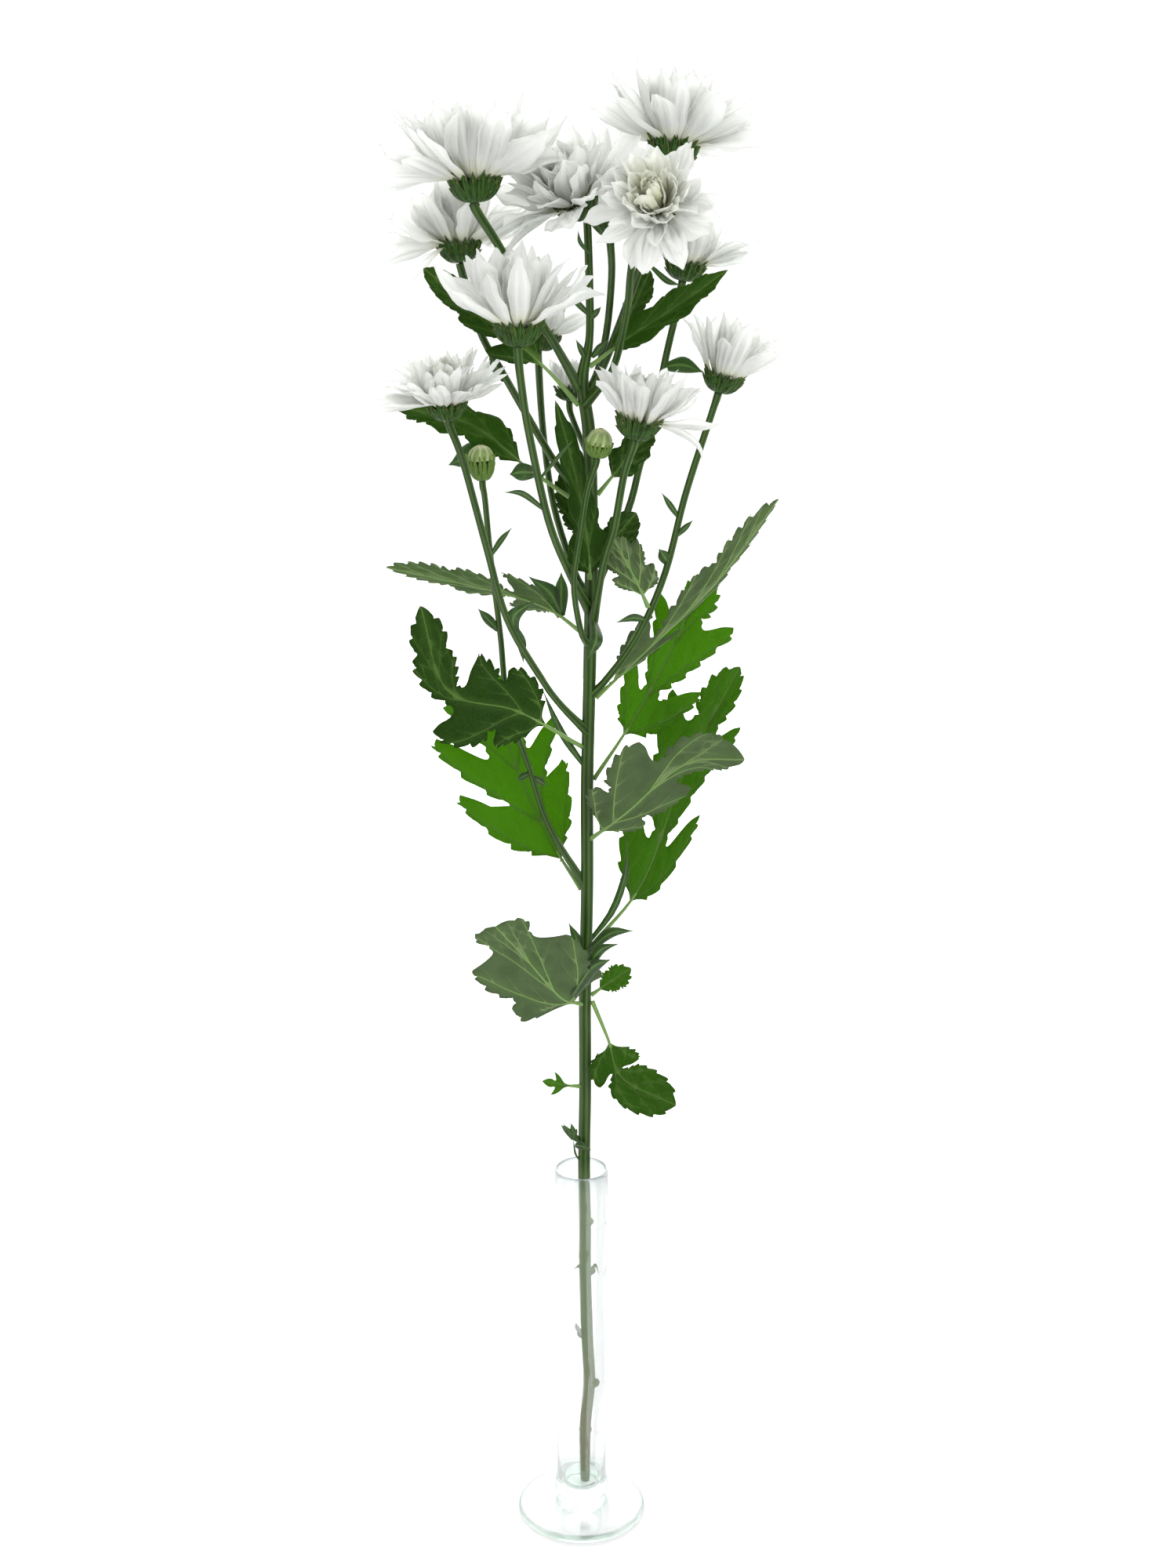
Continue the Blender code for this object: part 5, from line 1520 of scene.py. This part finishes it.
def vase(glass):
    """Turn the glass vase: round foot, collar, narrow tube and fire-polished rim."""
    outline = np.array(VASE_INSIDE + VASE_OUTSIDE)
    turns = np.arange(glass.sides) * FULL_TURN / glass.sides
    shape = Shape()
    inner = outline[1:-1]
    rings = stacked(inner[:, :1] * np.cos(turns), inner[:, :1] * np.sin(turns), inner[:, 1:])
    count = len(inner) * glass.sides
    last = count - glass.sides
    points = np.concatenate([rings.reshape(-1, 3), [(0, 0, outline[0][1]), (0, 0, outline[-1][1])]])
    faces = grid_faces(len(inner), glass.sides, wrap=True)
    for index in range(glass.sides):
        beside = (index + 1) % glass.sides
        faces += [(count, index, beside), (count + 1, last + beside, last + index)]
    radius, height = inner[:, 0], inner[:, 1]
    kinds = stacked(np.clip((height - 187) / 1.5, 0, 1), (radius > 31) * 1.0,
                    np.clip((24 - height) / 12, 0, 1) * (radius < 14))
    marks = np.concatenate([np.repeat(kinds, glass.sides, axis=0), [(0, 0, 1), (0, 0, 0)]])
    shape.add(points, faces, marks)
    finish = Finish("clear_glass", Roughness=0.0, IOR=1.45, Transmission_Weight=1.0, Alpha=0.80)
    # Painted shade: the glass is painted grey-green where seen edge on, at its rim and at its
    # foot's edge, partly the glass's own green and partly the shade its bending edges take on. The
    # thick lower end gets the glass's own green.
    facing = finish.node("ShaderNodeLayerWeight", {}, {"Blend": 0.5}).outputs["Facing"]
    rim, foot, base = finish.marks()
    wall = finish.mix(Value(finish, facing).step(0.35, 0.90), glass.tint, glass.edge)
    thick = finish.mix(base * 0.9, wall, glass.base)
    lipped = finish.mix(rim * 0.9, thick, glass.rim)
    finish.set(finish.shader, "Base Color", finish.mix(foot, lipped, glass.foot))
    shape.piece("turned_glass", [finish], "vase", "clear_glass")


def stage(settings):
    """Lay the pale floor, painted darker near the vase and glowing white far from it, set soft
    lights and the camera.
    """
    mesh = bpy.data.meshes.new("floor")
    mesh.from_pydata([(*corner, FLOOR_DROP) for corner in FLOOR_CORNERS], [], [(0, 1, 2, 3)])
    floor = bpy.data.objects.new("floor", mesh)
    bpy.context.scene.collection.objects.link(floor)
    finish = Finish("pale_floor", Roughness=0.9)
    # Painted light: the floor is painted darker and glows less near the vase, and glows white far
    # from it.
    place = finish.node("ShaderNodeTexCoord", {}, {}).outputs["Object"]
    away = finish.node("ShaderNodeVectorMath", {"operation": "LENGTH"}, {0: place})
    far = Value(finish, away.outputs["Value"]).step(0.45, 2.2)
    finish.set(finish.shader, "Base Color", finish.mix(far, settings.near, (0.86, 0.86, 0.86)))
    glow = finish.mix(far, (0.46, 0.46, 0.46), (1.0, 1.0, 1.0))
    finish.set(finish.shader, "Emission Color", glow)
    finish.set(finish.shader, "Emission Strength", settings.floor_glow)
    mesh.materials.append(finish.material)
    world = bpy.data.worlds.new("studio")
    bpy.context.scene.world = world
    world.use_nodes = True
    tree = world.node_tree
    around = tree.nodes["Background"]
    around.inputs["Color"].default_value = (1, 1, 1, 1)
    around.inputs["Strength"].default_value = settings.sky
    seen = tree.nodes.new("ShaderNodeBackground")
    seen.inputs["Color"].default_value = (1, 1, 1, 1)
    seen.inputs["Strength"].default_value = BACKDROP
    path = tree.nodes.new("ShaderNodeLightPath")
    both = tree.nodes.new("ShaderNodeMixShader")
    tree.links.new(path.outputs["Is Camera Ray"], both.inputs[0])
    tree.links.new(around.outputs[0], both.inputs[1])
    tree.links.new(seen.outputs[0], both.inputs[2])
    tree.links.new(both.outputs[0], tree.nodes["World Output"].inputs["Surface"])
    for name, (place, aim, size, power) in LAMPS.items():
        lamp = bpy.data.lights.new(name, "AREA")
        lamp.size = size
        lamp.energy = power
        piece = bpy.data.objects.new(name, lamp)
        bpy.context.scene.collection.objects.link(piece)
        piece.location = place
        piece.rotation_euler = (Vector(aim) - Vector(place)).to_track_quat("-Z", "Y").to_euler()
    view = bpy.data.cameras.new("camera")
    view.lens = settings.lens
    view.sensor_width = 36.0
    view.clip_start = 0.01
    camera = bpy.data.objects.new("camera", view)
    bpy.context.scene.collection.objects.link(camera)
    camera.location = settings.camera_at
    camera.rotation_euler = (math.pi / 2 - settings.pitch, 0, 0)
    bpy.context.scene.camera = camera
    bpy.context.scene.view_settings.view_transform = "Standard"


class FLOWER_OT_stage(Operator):
    """Lay the floor and set the lights and the camera"""

    bl_idname = "flower.stage"
    bl_label = "Stage"

    def execute(self, context):
        stage(context.scene.flower_stage)
        return {"FINISHED"}


class FLOWER_OT_vase(Operator):
    """Turn the glass vase"""

    bl_idname = "flower.vase"
    bl_label = "Vase"

    def execute(self, context):
        vase(context.scene.flower_vase)
        return {"FINISHED"}


class FLOWER_OT_stems(Operator):
    """Build the ribbed stems with their bracts"""

    bl_idname = "flower.stems"
    bl_label = "Stems"

    def execute(self, context):
        stem(context.scene.flower_stems, context.scene.flower_leaves)
        return {"FINISHED"}


class FLOWER_OT_cups(Operator):
    """Build the green cup under each head and bud"""

    bl_idname = "flower.cups"
    bl_label = "Cups"

    def execute(self, context):
        finish = cup_finish(context.scene.flower_cups)
        for key in (*HEADS, *BUDS):
            cup(key, context.scene.flower_cups, finish)
        return {"FINISHED"}


class FLOWER_OT_blooms(Operator):
    """Build the petals of each open head"""

    bl_idname = "flower.blooms"
    bl_label = "Blooms"

    def execute(self, context):
        petals = context.scene.flower_petals
        finish = petal_finish(petals)
        for key, head in HEADS.items():
            bloom(key, head, petals, finish)
        return {"FINISHED"}


class FLOWER_OT_buds(Operator):
    """Build the closed petals of each bud"""

    bl_idname = "flower.buds"
    bl_label = "Buds"

    def execute(self, context):
        finish = bud_finish()
        for key, bud in BUDS.items():
            bud_tip(key, bud, finish)
        return {"FINISHED"}


class FLOWER_OT_leaves(Operator):
    """Build each leaf with its veins and stalk"""

    bl_idname = "flower.leaves"
    bl_label = "Leaves"

    def execute(self, context):
        leaves = context.scene.flower_leaves
        ribs = rib_finish(leaves)
        sides = {}
        for name, spec in LEAVES.items():
            # Each light gets its own pair of sides: lit and shaded copies of one material, with
            # painted light.
            if spec.light not in sides:
                tag = f"{round(spec.light * 10):02d}"
                sides[spec.light] = [leaf_finish("leaf_upper_" + tag, leaves, False, spec.light),
                                     leaf_finish("leaf_under_" + tag, leaves, True, spec.light)]
            leaf(name, spec, leaves, [*sides[spec.light], ribs])
        return {"FINISHED"}


GROUPS = {
    "flower_petals": PetalSettings, "flower_cups": CupSettings, "flower_leaves": LeafSettings,
    "flower_stems": StemSettings, "flower_vase": VaseSettings, "flower_stage": StageSettings,
}
STEPS = (FLOWER_OT_stage, FLOWER_OT_vase, FLOWER_OT_stems, FLOWER_OT_cups, FLOWER_OT_blooms,
         FLOWER_OT_buds, FLOWER_OT_leaves)


class FLOWER_PT_pieces(Panel):
    """Lists the pieces and their sizes"""

    bl_idname = "FLOWER_PT_pieces"
    bl_label = "Flower in Vase"
    bl_space_type = "VIEW_3D"
    bl_region_type = "UI"
    bl_category = "Flower"

    def draw(self, context):
        for step in STEPS:
            self.layout.operator(step.bl_idname)
        for name, group in GROUPS.items():
            box = self.layout.box()
            box.label(text=group.__doc__)
            for field in group.__annotations__:
                box.prop(getattr(context.scene, name), field)


def register():
    """Register the settings, the operators and the panel."""
    for group in (*GROUPS.values(), *STEPS, FLOWER_PT_pieces):
        bpy.utils.register_class(group)
    for name, group in GROUPS.items():
        setattr(bpy.types.Scene, name, PointerProperty(type=group))


def unregister():
    """Take back what register() added."""
    for name in GROUPS:
        delattr(bpy.types.Scene, name)
    for group in reversed((*GROUPS.values(), *STEPS, FLOWER_PT_pieces)):
        bpy.utils.unregister_class(group)


def main():
    """Build every piece in order."""
    register()
    for step in STEPS:
        area, call = step.bl_idname.split(".")
        getattr(getattr(bpy.ops, area), call)()


if __name__ == "__main__":
    main()
